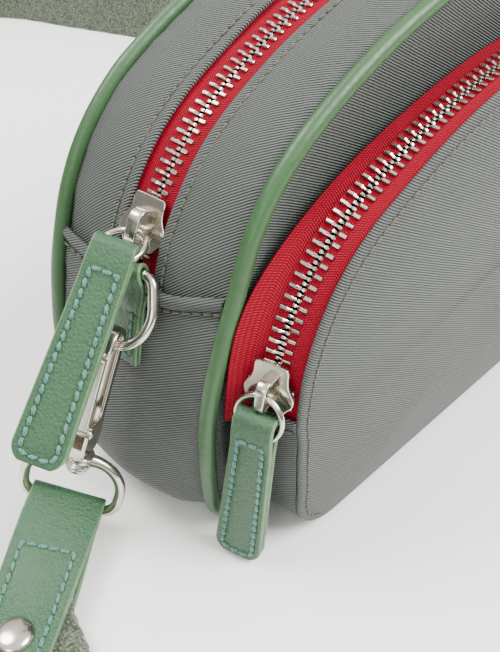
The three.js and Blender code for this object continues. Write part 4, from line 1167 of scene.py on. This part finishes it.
def pocket_gusset():
    """The pocket's lower band, folded over at each end of its zip."""
    ys = np.linspace(POCKET_FRONT - 0.1, POCKET_REAR + 0.2, 25)
    top = POCKET_SEAM + 2.2
    rows = [(top - 0.4, -0.2), (top, 0.3), (top - 0.1, 0.9), (top - 0.6, 1.15)]
    rows += [(d, None) for d in np.linspace(top - 1.6, 0, 150)]
    stitch_back = 3.6

    def end(side):
        grid, uv = [], []
        for d, lift in rows:
            along = POCKET.on_side(d, side)
            line = []
            for y in ys:
                back = top - d
                height = lift
                if height is None:
                    height = 1.1 * math.exp(-((back / 4.0) ** 4)) - 0.3 * float(hump(back, stitch_back, 0.8))
                    height += 0.25 * ripple(d, y, 9, 14.0) * float(smoothstep(d, 60, 90))
                line.append(POCKET.point(along, y, pocket_spread(along, y) + height))
            grid.append(line)
            uv.append([(-y, d if side < 0 else -d) for y in ys])
        return grid, uv

    left, left_uv = end(-1)
    right, right_uv = end(1)
    grid = np.array([*left, *right[:-1][::-1]])
    grid[..., 2] = np.maximum(grid[..., 2], 0.05)
    uv = np.array([*left_uv, *right_uv[:-1][::-1]])
    piece = shell("pocket_gusset_cloth", grid, 0.5, uv, TWILL, "bag")
    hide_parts("pocket_gusset")
    for side, name in ((-1, "left"), (1, "right")):
        d = POCKET.on_side(top - stitch_back, side)
        line = [POCKET.point(d, y, pocket_spread(d, y) + 0.75) for y in ys[1:-1]]
        stitches(f"pocket_end_stitch_{name}", line, POCKET.outward(d), OLIVE, HOLE_SHADE, "bag", **CLOTH_SEAM)


def pocket_topstitch():
    """Stitches along the folded edge of the pocket's face."""
    distances = np.linspace(POCKET.at_height(4), POCKET.length - POCKET.at_height(4), 500)
    line = []
    for d in distances:
        spread = pocket_spread(d, POCKET_FRONT)
        proud = pocket_proud(d)
        line.append(POCKET.point(d, POCKET_FRONT - GAP - 1.65 + 0.6 * proud, spread + proud - 2.3))
    stitches("pocket_topstitch", line, -Y_AXIS, OLIVE, HOLE_SHADE, "bag", **CLOTH_SEAM)


def add_pipings():
    """Leather rolled round a cord, sewn between gusset and panel."""
    for edge, side in (("rear", 1), ("front", -1)):
        distances = ring_of(MAIN, 620)
        points = []
        for d in distances:
            sway = 0.16 * ripple(d, side * 20, 13, 2.0)
            points.append(MAIN.point(d, side * MAIN_DEPTH / 2 + sway, 0.12 * ripple(d, side, 17, 4.0)))
        sizes = np.array([PIPING_RADIUS * (1 + 0.02 * ripple(d, side * 9, 6, 1.0)) for d in distances])
        section = circle(1.0, 20)[None] * sizes[:, None, None]
        piece = loft(f"{edge}_piping_leather", sweep(points, Y_AXIS, section, closed=True),
                     PIPING_LEATHER, "bag", closed=True)
        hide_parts(f"{edge}_piping")


upper_strip("upper_cloth_rear", 1, "upper_gusset_rear")
upper_strip("upper_cloth_front", -1, "upper_gusset_front")
lower_gusset()
add_panels()
pocket_gusset()
pocket_topstitch()
add_pipings()


# ---- Zips ----

def zip_axes(outline, distance, middle, surface):
    """Axes on the middle of a zip: X along it, Y across its tape, Z outward."""
    slope = surface(distance, middle + 1) - surface(distance, middle)
    return outline.axes(distance, middle, surface(distance, middle) - ZIP["tape"] / 2, slope)


def tooth_rings(axes, side):
    """One cast tooth: a block clamped on the tape's cord, a neck and a round head past the middle."""
    sections = [(3.15, 0.34, 0.85), (3.0, 0.43, 1.05), (1.35, 0.43, 1.08), (0.85, 0.32, 0.75),
                (0.3, 0.3, 0.5), (-0.1, 0.4, 0.58), (-0.55, 0.44, 0.55), (-0.95, 0.3, 0.3)]
    rings = []
    for y, half_width, half_height in sections:
        box = rounded_box(2 * half_width, 2 * half_height, 0.16, 1)
        rings.append([axes.place([x, side * y, z + 0.15]) for x, z in box])
    return np.array(rings)


def add_zip(prefix, outline, middle, tape_half, seam_at, surface, flare=None):
    start, stop = seam_at + 0.5, outline.length - seam_at - 0.5
    distances = np.linspace(start - 2.0, stop + 2.0, 420)
    bead = ZIP["tooth"] + 1.1
    stop_room = 5.0
    first = start + stop_room
    count = int((outline.length - 2 * first) / ZIP["pitch"])
    for name, side in (("rear", 1), ("front", -1)):
        reach = tape_half + (0.4 if flare is not None and side > 0 else -0.05)
        by_teeth = [0.7, 0.85, 1.2, 1.9, 2.5, 2.9, 3.15, 3.45, 3.75, 4.0, 4.3]
        across = np.array([*by_teeth, *np.linspace(4.8, reach, 12)])
        grid, uv = [], []
        for d in distances:
            row = []
            for a in across:
                y = middle + side * a
                lift = 0.3 * float(hump(a, bead, 0.38)) + 0.08 * ripple(d, a, 6, side)
                if flare is not None and side > 0:
                    lift += flare(outline.at(d)[1], a)
                row.append(outline.point(d, y, surface(d, y) + lift))
            grid.append(row)
            uv.append([(side * a, d) for a in across])
        tape = shell(f"{prefix}_tape_cloth_{name}", np.array(grid), ZIP["tape"], np.array(uv), TAPE, "bag")
        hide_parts(f"{prefix}_tape_{name}")
        half_step = 0.5 if side < 0 else 0.0
        spots = [first + (i + half_step) * ZIP["pitch"] for i in range(count)]
        rows = [tooth_rings(zip_axes(outline, d, middle, surface), side) for d in spots]
        teeth = many(f"{prefix}_teeth_metal_{name}", rows, METAL, "bag", smooth=False)
        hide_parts(f"{prefix}_teeth_{name}")
        bent = zip_axes(outline, start + 2.4, middle, surface).moved(y=side * 1.7, z=-0.9)
        top_stop = plate(f"{prefix}_stop_metal_{name}", rounded_box(2.4, 2.3, 0.5), 2.2, bent,
                         METAL, "bag", 0.4)
        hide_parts(f"{prefix}_top_stop_{name}")
    end = zip_axes(outline, stop - 2.4, middle, surface).moved(z=-0.9)
    bottom = plate(f"{prefix}_stop_metal_end", rounded_box(2.4, 5.4, 0.6), 2.3, end, METAL, "bag", 0.4)
    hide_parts(f"{prefix}_bottom_stop")


def pocket_tape_flare(height, across):
    """How much further the rear tape spreads at its low end, out to the piping's foot."""
    return 2.6 * (1 - float(smoothstep(height, 68, 94))) * float(smoothstep(across, 2.5, 7.2))


SLIDER = {"length": 13.0, "width": 12.6, "nose": 8.6, "plate": 1.1, "clearance": 0.65,
          "crown_length": 8.4, "crown_height": 4.5, "crown_at": -0.8, "wall": 0.9}


def slider_plan():
    """Outline of a slider's plate: a square nose, a waist and two round wings."""
    half, wing, nose = SLIDER["length"] / 2, SLIDER["width"] / 2, SLIDER["nose"] / 2
    side = [(half, nose - 1.6), (half - 0.25, nose - 0.4), (half - 1.3, nose), (half - 2.9, nose + 0.05),
            (1.9, nose + 0.35), (0.3, wing - 0.75), (-1.3, wing), (-3.1, wing - 0.2), (-4.6, wing - 1.3),
            (-half + 0.5, wing - 2.3), (-half, wing - 3.6)]
    mirrored = [(x, -y) for x, y in reversed(side)]
    return smooth_loop(side + mirrored, 3)


def add_slider(prefix, axes, roll, crown_width):
    body = f"{prefix}_slider_body"
    axes = axes.rolled(roll)
    top = TOOTH_TOP + SLIDER["clearance"]
    upper = cast_plate(f"{prefix}_slider_plate", slider_plan(), SLIDER["plate"], axes.moved(z=top),
                       METAL, body)
    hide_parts(f"{prefix}_slider")
    under = -TOOTH_TOP - 3 * SLIDER["clearance"] - SLIDER["plate"]
    cast_plate(f"{prefix}_slider_underplate", slider_plan(), SLIDER["plate"], axes.moved(z=under),
               METAL, body)
    wedge = [(6.0, 0.0), (5.4, 0.9), (3.2, 0.8), (1.6, 0.0), (3.2, -0.8), (5.4, -0.9)]
    plate(f"{prefix}_slider_wedge", wedge, top - under, axes.moved(z=under), METAL, body, 0.1)
    for name, side in (("rear", 1), ("front", -1)):
        rail = rounded_box(5.2, 0.9, 0.3) + vec(-2.0, side * 5.3)
        plate(f"{prefix}_slider_rail_{name}", rail, 1.2, axes.moved(z=top - 1.0), METAL, body, 0.15)

    half = SLIDER["crown_length"] / 2
    height = SLIDER["crown_height"]
    wall = SLIDER["wall"]
    line = [(half - wall / 2, -0.4), (half - wall / 2, height - 2.6)]
    line += arc((half - 2.6, height - 2.6), 2.6 - wall / 2, 0, 90, 6)
    line += arc((-half + 2.2, height - 2.2), 2.2 - wall / 2, 90, 180, 6)
    line += [(-half + wall / 2, height - 2.4), (-half + wall / 2, -0.4)]
    line = even_path(line, 40)
    spots = axes.place([(x + SLIDER["crown_at"], 0, z + top + SLIDER["plate"]) for x, z in line])
    widths = crown_width * (1 + 0.12 * np.cos(np.linspace(0, np.pi, 40)))
    section = np.stack([rounded_box(w, wall, 0.22, 2) for w in widths])
    loft(f"{prefix}_slider_crown", sweep(spots, axes.rows[1], section), METAL, body)


def add_pull(prefix, axes, hang):
    """The ring through a slider's crown and the folded leather pull on it."""
    ring_seat = SLIDER["crown_at"] - SLIDER["crown_length"] / 2 + SLIDER["wall"] + PULL_RING["wire"] + GAP
    crown_base = TOOTH_TOP + SLIDER["clearance"] + SLIDER["plate"] - 0.1
    seat_height = crown_base + SLIDER["crown_height"] - SLIDER["wall"] - PULL_RING["wire"] - 2 * GAP
    seat = axes.place([ring_seat + hang["seat"], 0, seat_height])
    ring = hanging(seat, hang["ring_way"], axes.rows[1])
    radius = PULL_RING["radius"]
    turns = np.linspace(0, 2 * np.pi, 72, endpoint=False)
    hoop = ring.place(np.stack([0 * turns, radius * np.cos(turns), radius * np.sin(turns) - radius], axis=1))
    rings = sweep(hoop, ring.rows[0], circle(PULL_RING["wire"], 16), closed=True)
    piece = loft(f"{prefix}_ring_metal", rings, METAL, f"{prefix}_ring_body", closed=True)
    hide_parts(f"{prefix}_pull_ring")
    turn = math.radians(hang["round_ring"])
    wire_at = ring.place([0, -radius * math.sin(turn), -radius * (1 + math.cos(turn))])
    pull = hanging(wire_at, hang["pull_way"], hang["fold_axis"])
    leather_pull(prefix, pull, hang["length"], hang["slack"])


def strip_section(width, thickness, quilted, inset=PULL_INSET):
    """Leather strip: [across, out], its outer face swelling inside its stitches by a share `quilted`."""
    half = width / 2
    marks = [half - m for m in (0.42, 0.95, 0.75 * inset, inset, inset + 0.65, inset + 1.45)]
    marks = [m for m in marks if m > 0.3]
    across = np.array([-m for m in marks] + [0.0] + marks[::-1])
    inside = np.clip((half - inset - np.abs(across)) / 2.5, 0, 1)
    rim = 0.12 * hump(half - np.abs(across), 1.2, 0.8)
    swell = quilted * (0.32 * inside - 0.26 * hump(half - np.abs(across), inset, 0.5) + rim)
    outer = np.stack([across, thickness / 2 + swell], axis=1)[::-1]
    inner = np.stack([across, np.full(len(across), -thickness / 2)], axis=1)
    left = [(-half + 0.14, 0.36 * thickness), (-half, 0.15 * thickness), (-half, -0.15 * thickness),
            (-half + 0.14, -0.36 * thickness)]
    right = [(-x, y) for x, y in reversed(left)]
    section = np.array([*outer, *left, *inner, *right])
    slots = [0] * (len(outer) - 1) + [1] * 5 + [0] * (len(inner) - 1) + [1] * 5
    return section, slots


def pull_width(z, top, end):
    """Width of a pull at a height: it widens toward its end, which has round corners."""
    straight = lerp(PULL["end_width"], PULL["top_width"], (z - end) / (top - end))
    drop = max(end + PULL["end_radius"] - z, 0)
    return straight - 2 * PULL["end_radius"] + 2 * math.sqrt(max(PULL["end_radius"] ** 2 - drop**2, 0))


def leather_pull(prefix, axes, length, slack):
    body = f"{prefix}_pull_body"
    bend = PULL_RING["wire"] + GAP + PULL["leather"] / 2
    leg = (PULL["gap"] + PULL["leather"]) / 2
    top = slack + bend + PULL["leather"] / 2
    end = top - length

    def spread(z):
        return lerp(leg, bend, float(smoothstep(z, slack - 8.5, slack - PULL["slot"] + 3)))

    corner = [end + PULL["end_radius"] * (1 - math.sin(a)) for a in np.radians(np.linspace(0, 86, 12))]
    straight = np.linspace(slack - 0.2, end + PULL["end_radius"], 44, endpoint=False)
    heights = [*straight, *corner]
    fold = arc((0, slack), bend, 0, 180, 18)
    path = [(spread(z), z) for z in reversed(heights)] + fold + [(-spread(z), z) for z in heights]
    path = [(x, 0, z) for x, z in path]
    inset = PULL_INSET
    seam_top = slack - 5.3
    sections = []
    for _, _, z in path:
        quilted = float(smoothstep(seam_top - z, 0.2, 2.5) * smoothstep(z - end - inset, 0.2, 2.5))
        sections.append(strip_section(max(pull_width(z, top, end), 1.5), PULL["leather"], quilted)[0])
    widest = max(len(s) for s in sections)
    keep = [i for i, s in enumerate(sections) if len(s) == widest]
    _, slots = strip_section(PULL["end_width"], PULL["leather"], 1)
    points = axes.place([path[i] for i in keep])
    rings = sweep(points, -axes.rows[1], np.array([sections[i] for i in keep]))
    piece = loft(f"{prefix}_pull_strip", rings, [LEATHER, EDGE], body, face_slots=slots)
    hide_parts(f"{prefix}_pull_leather")

    side = [(pull_width(z, top, end) / 2 - inset, z)
            for z in np.linspace(seam_top, end + PULL["end_radius"], 40)]
    radius = PULL["end_radius"] - inset
    low_half = PULL["end_width"] / 2 - PULL["end_radius"]
    rounded = [(low_half + radius * math.cos(a), end + inset + radius - radius * math.sin(a))
               for a in np.radians(np.linspace(0, 90, 10))]
    half = side + rounded
    loop = half + [(-y, z) for y, z in reversed(half)]
    loop = loop + [(loop[0][0], loop[0][1])]
    face = leg + PULL["leather"] / 2 + 0.02
    for name, way in (("front", 1), ("back", -1)):
        line = axes.place([(way * (face + spread(z) - leg), y, z) for y, z in loop])
        stitches(f"{prefix}_pull_stitch_{name}", line, way * axes.rows[0], TEAL, LEATHER_HOLE_SHADE, body,
                 **PULL_SEAM)


add_zip("main", MAIN, 0.0, ZIP["tape_half"], SEAM, main_zip_surface)
add_zip("pocket", POCKET, POCKET_MIDDLE, 7.0, POCKET_SEAM, pocket_zip_surface, pocket_tape_flare)

main_axes = MAIN.axes(MAIN.at_height(79.7), 0.0, -ZIP["sink"] - ZIP["tape"] / 2)
add_slider("main", main_axes, 12, 3.0)
add_pull("main", main_axes, {
    "length": 53.0, "seat": 0.85, "round_ring": 2.0, "slack": 3.2,
    "ring_way": vec(-0.9, -0.38, -0.12),
    "pull_way": vec(-0.662, -0.158, -0.733),
    "fold_axis": vec(-0.505, 0.823, 0.26),
})
pocket_axes = POCKET.axes(POCKET.at_height(53.4), POCKET_MIDDLE, -0.4 - ZIP["tape"] / 2)
pocket_axes = pocket_axes.rolled(POCKET_TILT["slider"])
add_slider("pocket", pocket_axes, 0, 2.4)
add_pull("pocket", pocket_axes, {
    "length": 48.8, "seat": 2.0, "round_ring": 0.0, "slack": 5.2,
    "ring_way": vec(-0.26, 0, -0.966),
    "pull_way": vec(-0.08, 0.05, -0.995),
    "fold_axis": vec(-0.31, 0.95, 0),
})


# ---- End hardware ----

def add_ring_tab(end):
    """Leather folded over the ring's bar and sewn flat on the gusset."""
    outer = D_RING["wire"] + GAP + RING_TAB["leather"] / 2
    leather = RING_TAB["leather"]
    outward = MAIN.outward(end.along)
    turned = [end.ring.place([outer * math.cos(a), 0, outer * math.sin(a)]) for a in
              np.radians(np.linspace(-50, 230, 26))]
    if np.dot(turned[0] - turned[-1], outward) < 0:
        turned.reverse()
    low, high = MAIN.at_height(RING_TAB["bottom"]), MAIN.at_height(60.5)

    def flat_part(offset, downward):
        spots = np.linspace(low, high, 14)
        spots = MAIN.on_side(spots, end.side)
        line = [MAIN.point(d, 0, gusset_rise(d, 0) + 0.5 + offset) for d in spots]
        return line[::-1] if downward else line

    path = [*flat_part(leather * 1.62, False), *turned, *flat_part(leather * 0.5, True)]
    path = even_path(path, 90)
    weights = np.linspace(0, 1, 90)
    twist = smoothstep(weights, 0.28, 0.42) * (1 - smoothstep(weights, 0.58, 0.72))
    across = Y_AXIS[None] * (1 - twist[:, None]) + end.ring.rows[1][None] * twist[:, None]
    section, slots = strip_section(RING_TAB["width"], leather, 0.6)
    rings = sweep(path, across * -end.side, section)
    piece = loft(f"ring_tab_leather_{end.name}", rings, [LEATHER, EDGE], "bag", face_slots=slots)
    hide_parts(f"ring_tab_{end.name}")
    half_width = RING_TAB["width"] / 2 - 2.1
    inner_low, inner_high = MAIN.at_height(RING_TAB["bottom"] + 2), MAIN.at_height(61.5)
    corners = [(half_width, inner_high), (half_width, inner_low),
               (-half_width, inner_low), (-half_width, inner_high)]
    box = even_path([*corners, corners[0]], 80)
    line, out = [], []
    for y, d in box:
        d = MAIN.on_side(d, end.side)
        line.append(MAIN.point(d, y, gusset_rise(d, y) + 0.5 + 2.2 * leather))
        out.append(MAIN.outward(d))
    stitches(f"ring_tab_stitch_{end.name}", line, out, TEAL, HOLE_SHADE, "bag", **TAB_SEAM)


def add_d_ring(end):
    half, corner = D_RING["width"] / 2, 3.2
    path = arc((half - corner, -corner), corner, 90, 0, 6)
    path += arc((0, half - D_RING["drop"]), half, 0, -180, 40)
    path += arc((corner - half, -corner), corner, 180, 90, 6)
    path += [(x, 0.0) for x in np.linspace(corner - half, half - corner, 8)[1:-1]]
    points = end.ring.place([(0, y, z) for y, z in path])
    rings = sweep(points, end.ring.rows[0], circle(D_RING["wire"], 20), closed=True)
    piece = loft(f"d_ring_wire_{end.name}", rings, METAL, f"d_ring_{end.name}_body", closed=True)
    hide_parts(f"d_ring_{end.name}")


def rod(name, axes, radius, low, high, material, body, profile=None):
    """A round piece on local Z; a profile gives [radius share, height share] rings."""
    profile = profile or [(0.0, 0), (0.85, 0), (1, 0.06), (1, 0.94), (0.85, 1), (0.0, 1)]
    rings = []
    for share, height in profile:
        flat = circle(max(radius * share, 0.01), 28)
        rings.append([axes.place([x, y, lerp(low, high, height)]) for x, y in flat])
    return loft(name, rings, material, body)


def add_hook(end):
    """Snap hook: a curved nose, a channel-shaped back, a sprung gate and a swivel post."""
    body = f"hook_{end.name}_body"
    side, shift = end.side, end.shift
    outer, wall = HOOK["width"] / 2, HOOK["wall"]
    inner = outer - wall
    mid = (outer + inner) / 2
    nose = arc((0, 0), mid, 200, 0, 30)
    back = [(mid, z) for z in np.linspace(-1, -HOOK["base"] + 4, 20)]
    spine = [(shift - side * x, 0, z) for x, z in nose + back]
    depth = HOOK["thickness"]
    sizes = smoothstep(np.arange(len(spine)), 0, 4)
    section = np.stack([rounded_box(depth * (0.62 + 0.38 * s), wall * (0.7 + 0.3 * s), 0.45, 3)
                        for s in sizes])
    rings = sweep(end.hook.place(spine), end.hook.rows[1], section)
    piece = loft(f"hook_back_{end.name}", rings, METAL, body)
    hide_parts(f"snap_hook_{end.name}")

    upright = Axes(end.hook.origin, end.hook.rows[0], end.hook.rows[2], -end.hook.rows[1])
    foot_low, foot_high = -HOOK["base"], -HOOK["hinge"] + 5.5
    foot = [(shift + x, z) for x, z in (
        (-outer, foot_low + 1.5), (-outer + 1.5, foot_low), (outer - 1.5, foot_low), (outer, foot_low + 1.5),
        (outer, foot_high - 1.8), (outer - 1.4, foot_high),
        (-outer + 1.4, foot_high), (-outer, foot_high - 1.8))]
    cheek = 0.95
    for name, at in (("front", -depth / 2 - 0.25), ("rear", depth / 2 - cheek + 0.25)):
        base = Axes(upright.place([0, 0, at]), *upright.rows)
        plate(f"hook_cheek_{name}_{end.name}", foot, cheek, base, METAL, body, 0.3)
    block = [(shift + x, z) for x, z in ((-outer + 0.5, foot_low), (outer - 0.5, foot_low),
                                         (outer - 0.5, foot_low + 3.2), (-outer + 0.5, foot_low + 3.2))]
    plate(f"hook_foot_{end.name}", block, depth - 0.4, upright.moved(z=-depth / 2 + 0.2), METAL, body, 0.3)
    for row, edge in (("a", -1), ("b", 1)):
        rail = [(shift - side * x, z) for x, z in (
            (outer - 2.6, foot_high - 2), (outer, foot_high - 2), (outer, 0.0), (outer - 2.6, -2.0))]
        at = edge * (depth / 2 - 0.3) - 0.3
        plate(f"hook_rail_{row}_{end.name}", rail, 0.6, upright.moved(z=at), METAL, body, 0.15)

    gate_x = shift + side * mid
    pivot = -HOOK["hinge"] + 3 + GAP + wall / 2
    pin = Axes(end.hook.place([gate_x, 0, pivot]), end.hook.rows[2], end.hook.rows[0], end.hook.rows[1])
    rod(f"hook_pin_{end.name}", pin, 1.15, -depth / 2 - 0.75, depth / 2 + 0.75, METAL, body)
    rod(f"hook_pin_eye_{end.name}", pin, 0.5, -depth / 2 - 0.85, depth / 2 + 0.85, SATIN, body)
    post = Axes(end.hook.place([shift, 0, 0]), *end.hook.rows)
    low = -HOOK["base"] - end.swivel
    rod(f"hook_post_{end.name}", post, HOOK["post"], low - 0.5, -HOOK["base"] + 1, METAL, body)
    collar = [(0, 0), (0.9, 0), (1, 0.25), (1, 0.7), (0.8, 1), (0, 1)]
    rod(f"hook_head_{end.name}", post, 2.9, low - 1.5, low, METAL, body, collar)

    gate_top = -outer * math.sin(math.radians(20)) - 0.8
    line = [(gate_x, 0, z) for z in np.linspace(pivot - wall / 2, gate_top, 24)]
    section = rounded_box(depth - 1.3, wall, 0.35, 3)
    rings = sweep(end.hook.place(line), end.hook.rows[1], section)
    gate = loft(f"hook_gate_bar_{end.name}", rings, SATIN, f"gate_{end.name}_body")
    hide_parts(f"hook_gate_{end.name}")


def add_bow(end):
    """Oval swivel ring with a flanged boss round the hook's post."""
    body = f"bow_{end.name}_body"
    half, upper, lower = BOW["width"] / 2, 8.5, 4.6
    reach = end.reach
    path = [(y, 0.0) for y in np.linspace(0.6, half - upper, 5)]
    path += arc((half - upper, -upper), upper, 90, 0, 14)
    path += arc((half - lower, lower - reach), lower, 0, -90, 10)
    path += arc((lower - half, lower - reach), lower, -90, -180, 10)
    path += arc((upper - half, -upper), upper, 180, 90, 14)
    path += [(y, 0.0) for y in np.linspace(upper - half, -0.6, 5)]
    path = even_path([*path, path[0]], 150)[:-1]
    points = end.bow.place([(0, y, z) for y, z in path])
    near = np.abs(path[:, 0]) + np.abs(path[:, 1]) * 2
    sizes = BOW["wire"] * (1 + 0.35 * np.exp(-((near / 4.5) ** 2)))
    section = circle(1.0, 20)[None] * sizes[:, None, None]
    rings = sweep(points, end.bow.rows[0], section, closed=True)
    piece = loft(f"bow_wire_{end.name}", rings, METAL, body, closed=True)
    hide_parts(f"swivel_bow_{end.name}")
    flange = [(0, 0), (0.92, 0), (1, 0.08), (1, 0.2), (0.8, 0.3),
              (0.78, 0.7), (1, 0.8), (1, 0.92), (0.92, 1), (0, 1)]
    half_boss = BOW["boss"] / 2
    rod(f"bow_boss_{end.name}", end.bow, BOW["boss_radius"], -half_boss, half_boss, METAL, body, flange)


def add_strap_end(end):
    """Leather folded round the bow, with webbing sewn between its two faces and a rivet through them."""
    body = f"strap_end_{end.name}_body"
    layer, length = STRAP_END["leather"], STRAP_END["length"]
    corner = 5.0
    distances = [*np.linspace(4, length - corner, 40), *(length - corner + corner * np.sin(
        np.radians(np.linspace(8, 86, 12))))]

    def width_at(distance):
        drop = max(distance - (length - corner), 0)
        return STRAP_END["width"] - 2 * corner + 2 * math.sqrt(max(corner**2 - drop**2, 0.04))

    def leg(side):
        return [(end.strap_centre(d) + end.strap_normal(d) * side * end.leg,
                 end.strap_across(d), width_at(d), d) for d in distances]

    bend = BOW["wire"] + GAP + layer / 2
    normal = end.strap_normal(0)
    forward = unit(np.cross(end.bar, normal))
    if np.dot(forward, end.floor_way) < 0:
        forward = -forward
    fold = [(end.centre + forward * x + normal * z, end.bar, STRAP_END["width"], 0.0)
            for x, z in arc((0, 0), bend, 78, 282, 26)]
    stations = leg(1)[::-1] + fold + leg(-1)
    seam_from, inset = 14.5, 2.9
    quilts = [float(smoothstep(d - seam_from, 0.3, 3) * smoothstep(length - inset - d, 0.3, 3))
              for _, _, _, d in stations]
    sections = [strip_section(s[2], layer, q, inset)[0] for s, q in zip(stations, quilts)]
    _, slots = strip_section(STRAP_END["width"], layer, 1, inset)
    sign = 1 if np.dot(np.cross(unit(stations[1][0] - stations[0][0]), stations[0][1]), normal) > 0 else -1
    points = np.array([s[0] for s in stations])
    across = np.array([s[1] for s in stations]) * sign
    points[:, 2] = np.maximum(points[:, 2], layer / 2 + 0.1)
    rings = sweep(points, across, np.array(sections))
    piece = loft(f"strap_end_leather_{end.name}", rings, [LEATHER, EDGE], body, face_slots=slots)
    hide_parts(f"strap_end_{end.name}")

    half = STRAP_END["width"] / 2 - inset
    seam_to = length - inset
    loop = [(seam_from, 0), (seam_from, half)]
    loop += [(d, half) for d in np.linspace(seam_from, length - corner, 20)]
    radius = corner - inset
    loop += [(length - corner + radius * math.sin(a), half - radius + radius * math.cos(a))
             for a in np.radians(np.linspace(10, 90, 8))]
    loop += [(seam_to, 0)]
    loop = even_path(loop + [(d, -y) for d, y in reversed(loop)], 160)
    for name, way in (("top", 1), ("under", -1)):
        line, out = [], []
        for d, y in loop:
            up = end.strap_normal(d)
            face = end.leg + layer / 2 + 0.02
            line.append(end.strap_centre(d) + end.strap_across(d) * y + up * way * face)
            out.append(up * way)
        stitches(f"strap_stitch_{name}_{end.name}", line, out, TEAL, LEATHER_HOLE_SHADE, body,
                 **STRAP_SEAM)

    spots = np.linspace(WEBBING["stub_from"], length + WEBBING["stub_out"], 60)
    widths = lerp(STRAP_END["width"] - 1, WEBBING["width"],
                  smoothstep(spots, WEBBING["stub_from"], STRAP_END["rivet"] + 4))
    stub = webbing_ribbon(f"strap_stub_band_{end.name}", [end.strap_centre(d) for d in spots],
                          np.array([end.strap_across(d) for d in spots]), widths, body)
    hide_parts(f"strap_stub_{end.name}")

    at = end.strap_centre(STRAP_END["rivet"])
    rivet = Axes(at, vec(1, 0, 0), Y_AXIS, Z_AXIS)
    face = end.leg + layer / 2
    dome = [(0.001, 0), (1, 0), (1.0, 0.22), (0.93, 0.5), (0.8, 0.72), (0.55, 0.9), (0.25, 0.985), (0.001, 1)]
    cap = rod(f"strap_rivet_cap_{end.name}", rivet, RIVET["radius"], face, face + RIVET["height"] + 0.3,
              METAL, body, dome)
    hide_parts(f"strap_rivet_{end.name}")
    rod(f"strap_rivet_back_{end.name}", rivet, RIVET["radius"] - 1, -face - RIVET["back"], -face, METAL, body)


for hardware in (LEFT, RIGHT):
    add_ring_tab(hardware)
    add_d_ring(hardware)
    add_hook(hardware)
    add_bow(hardware)
    add_strap_end(hardware)


# ---- Parts carried over from the CAD ----

def finish_carried_nodes():
    """The linings, the board and the slip pocket keep their CAD shape, all in lining cloth."""
    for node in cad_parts.values():
        if node.hide_render:
            continue
        for slot in node.material_slots:
            slot.material = LINING


finish_carried_nodes()
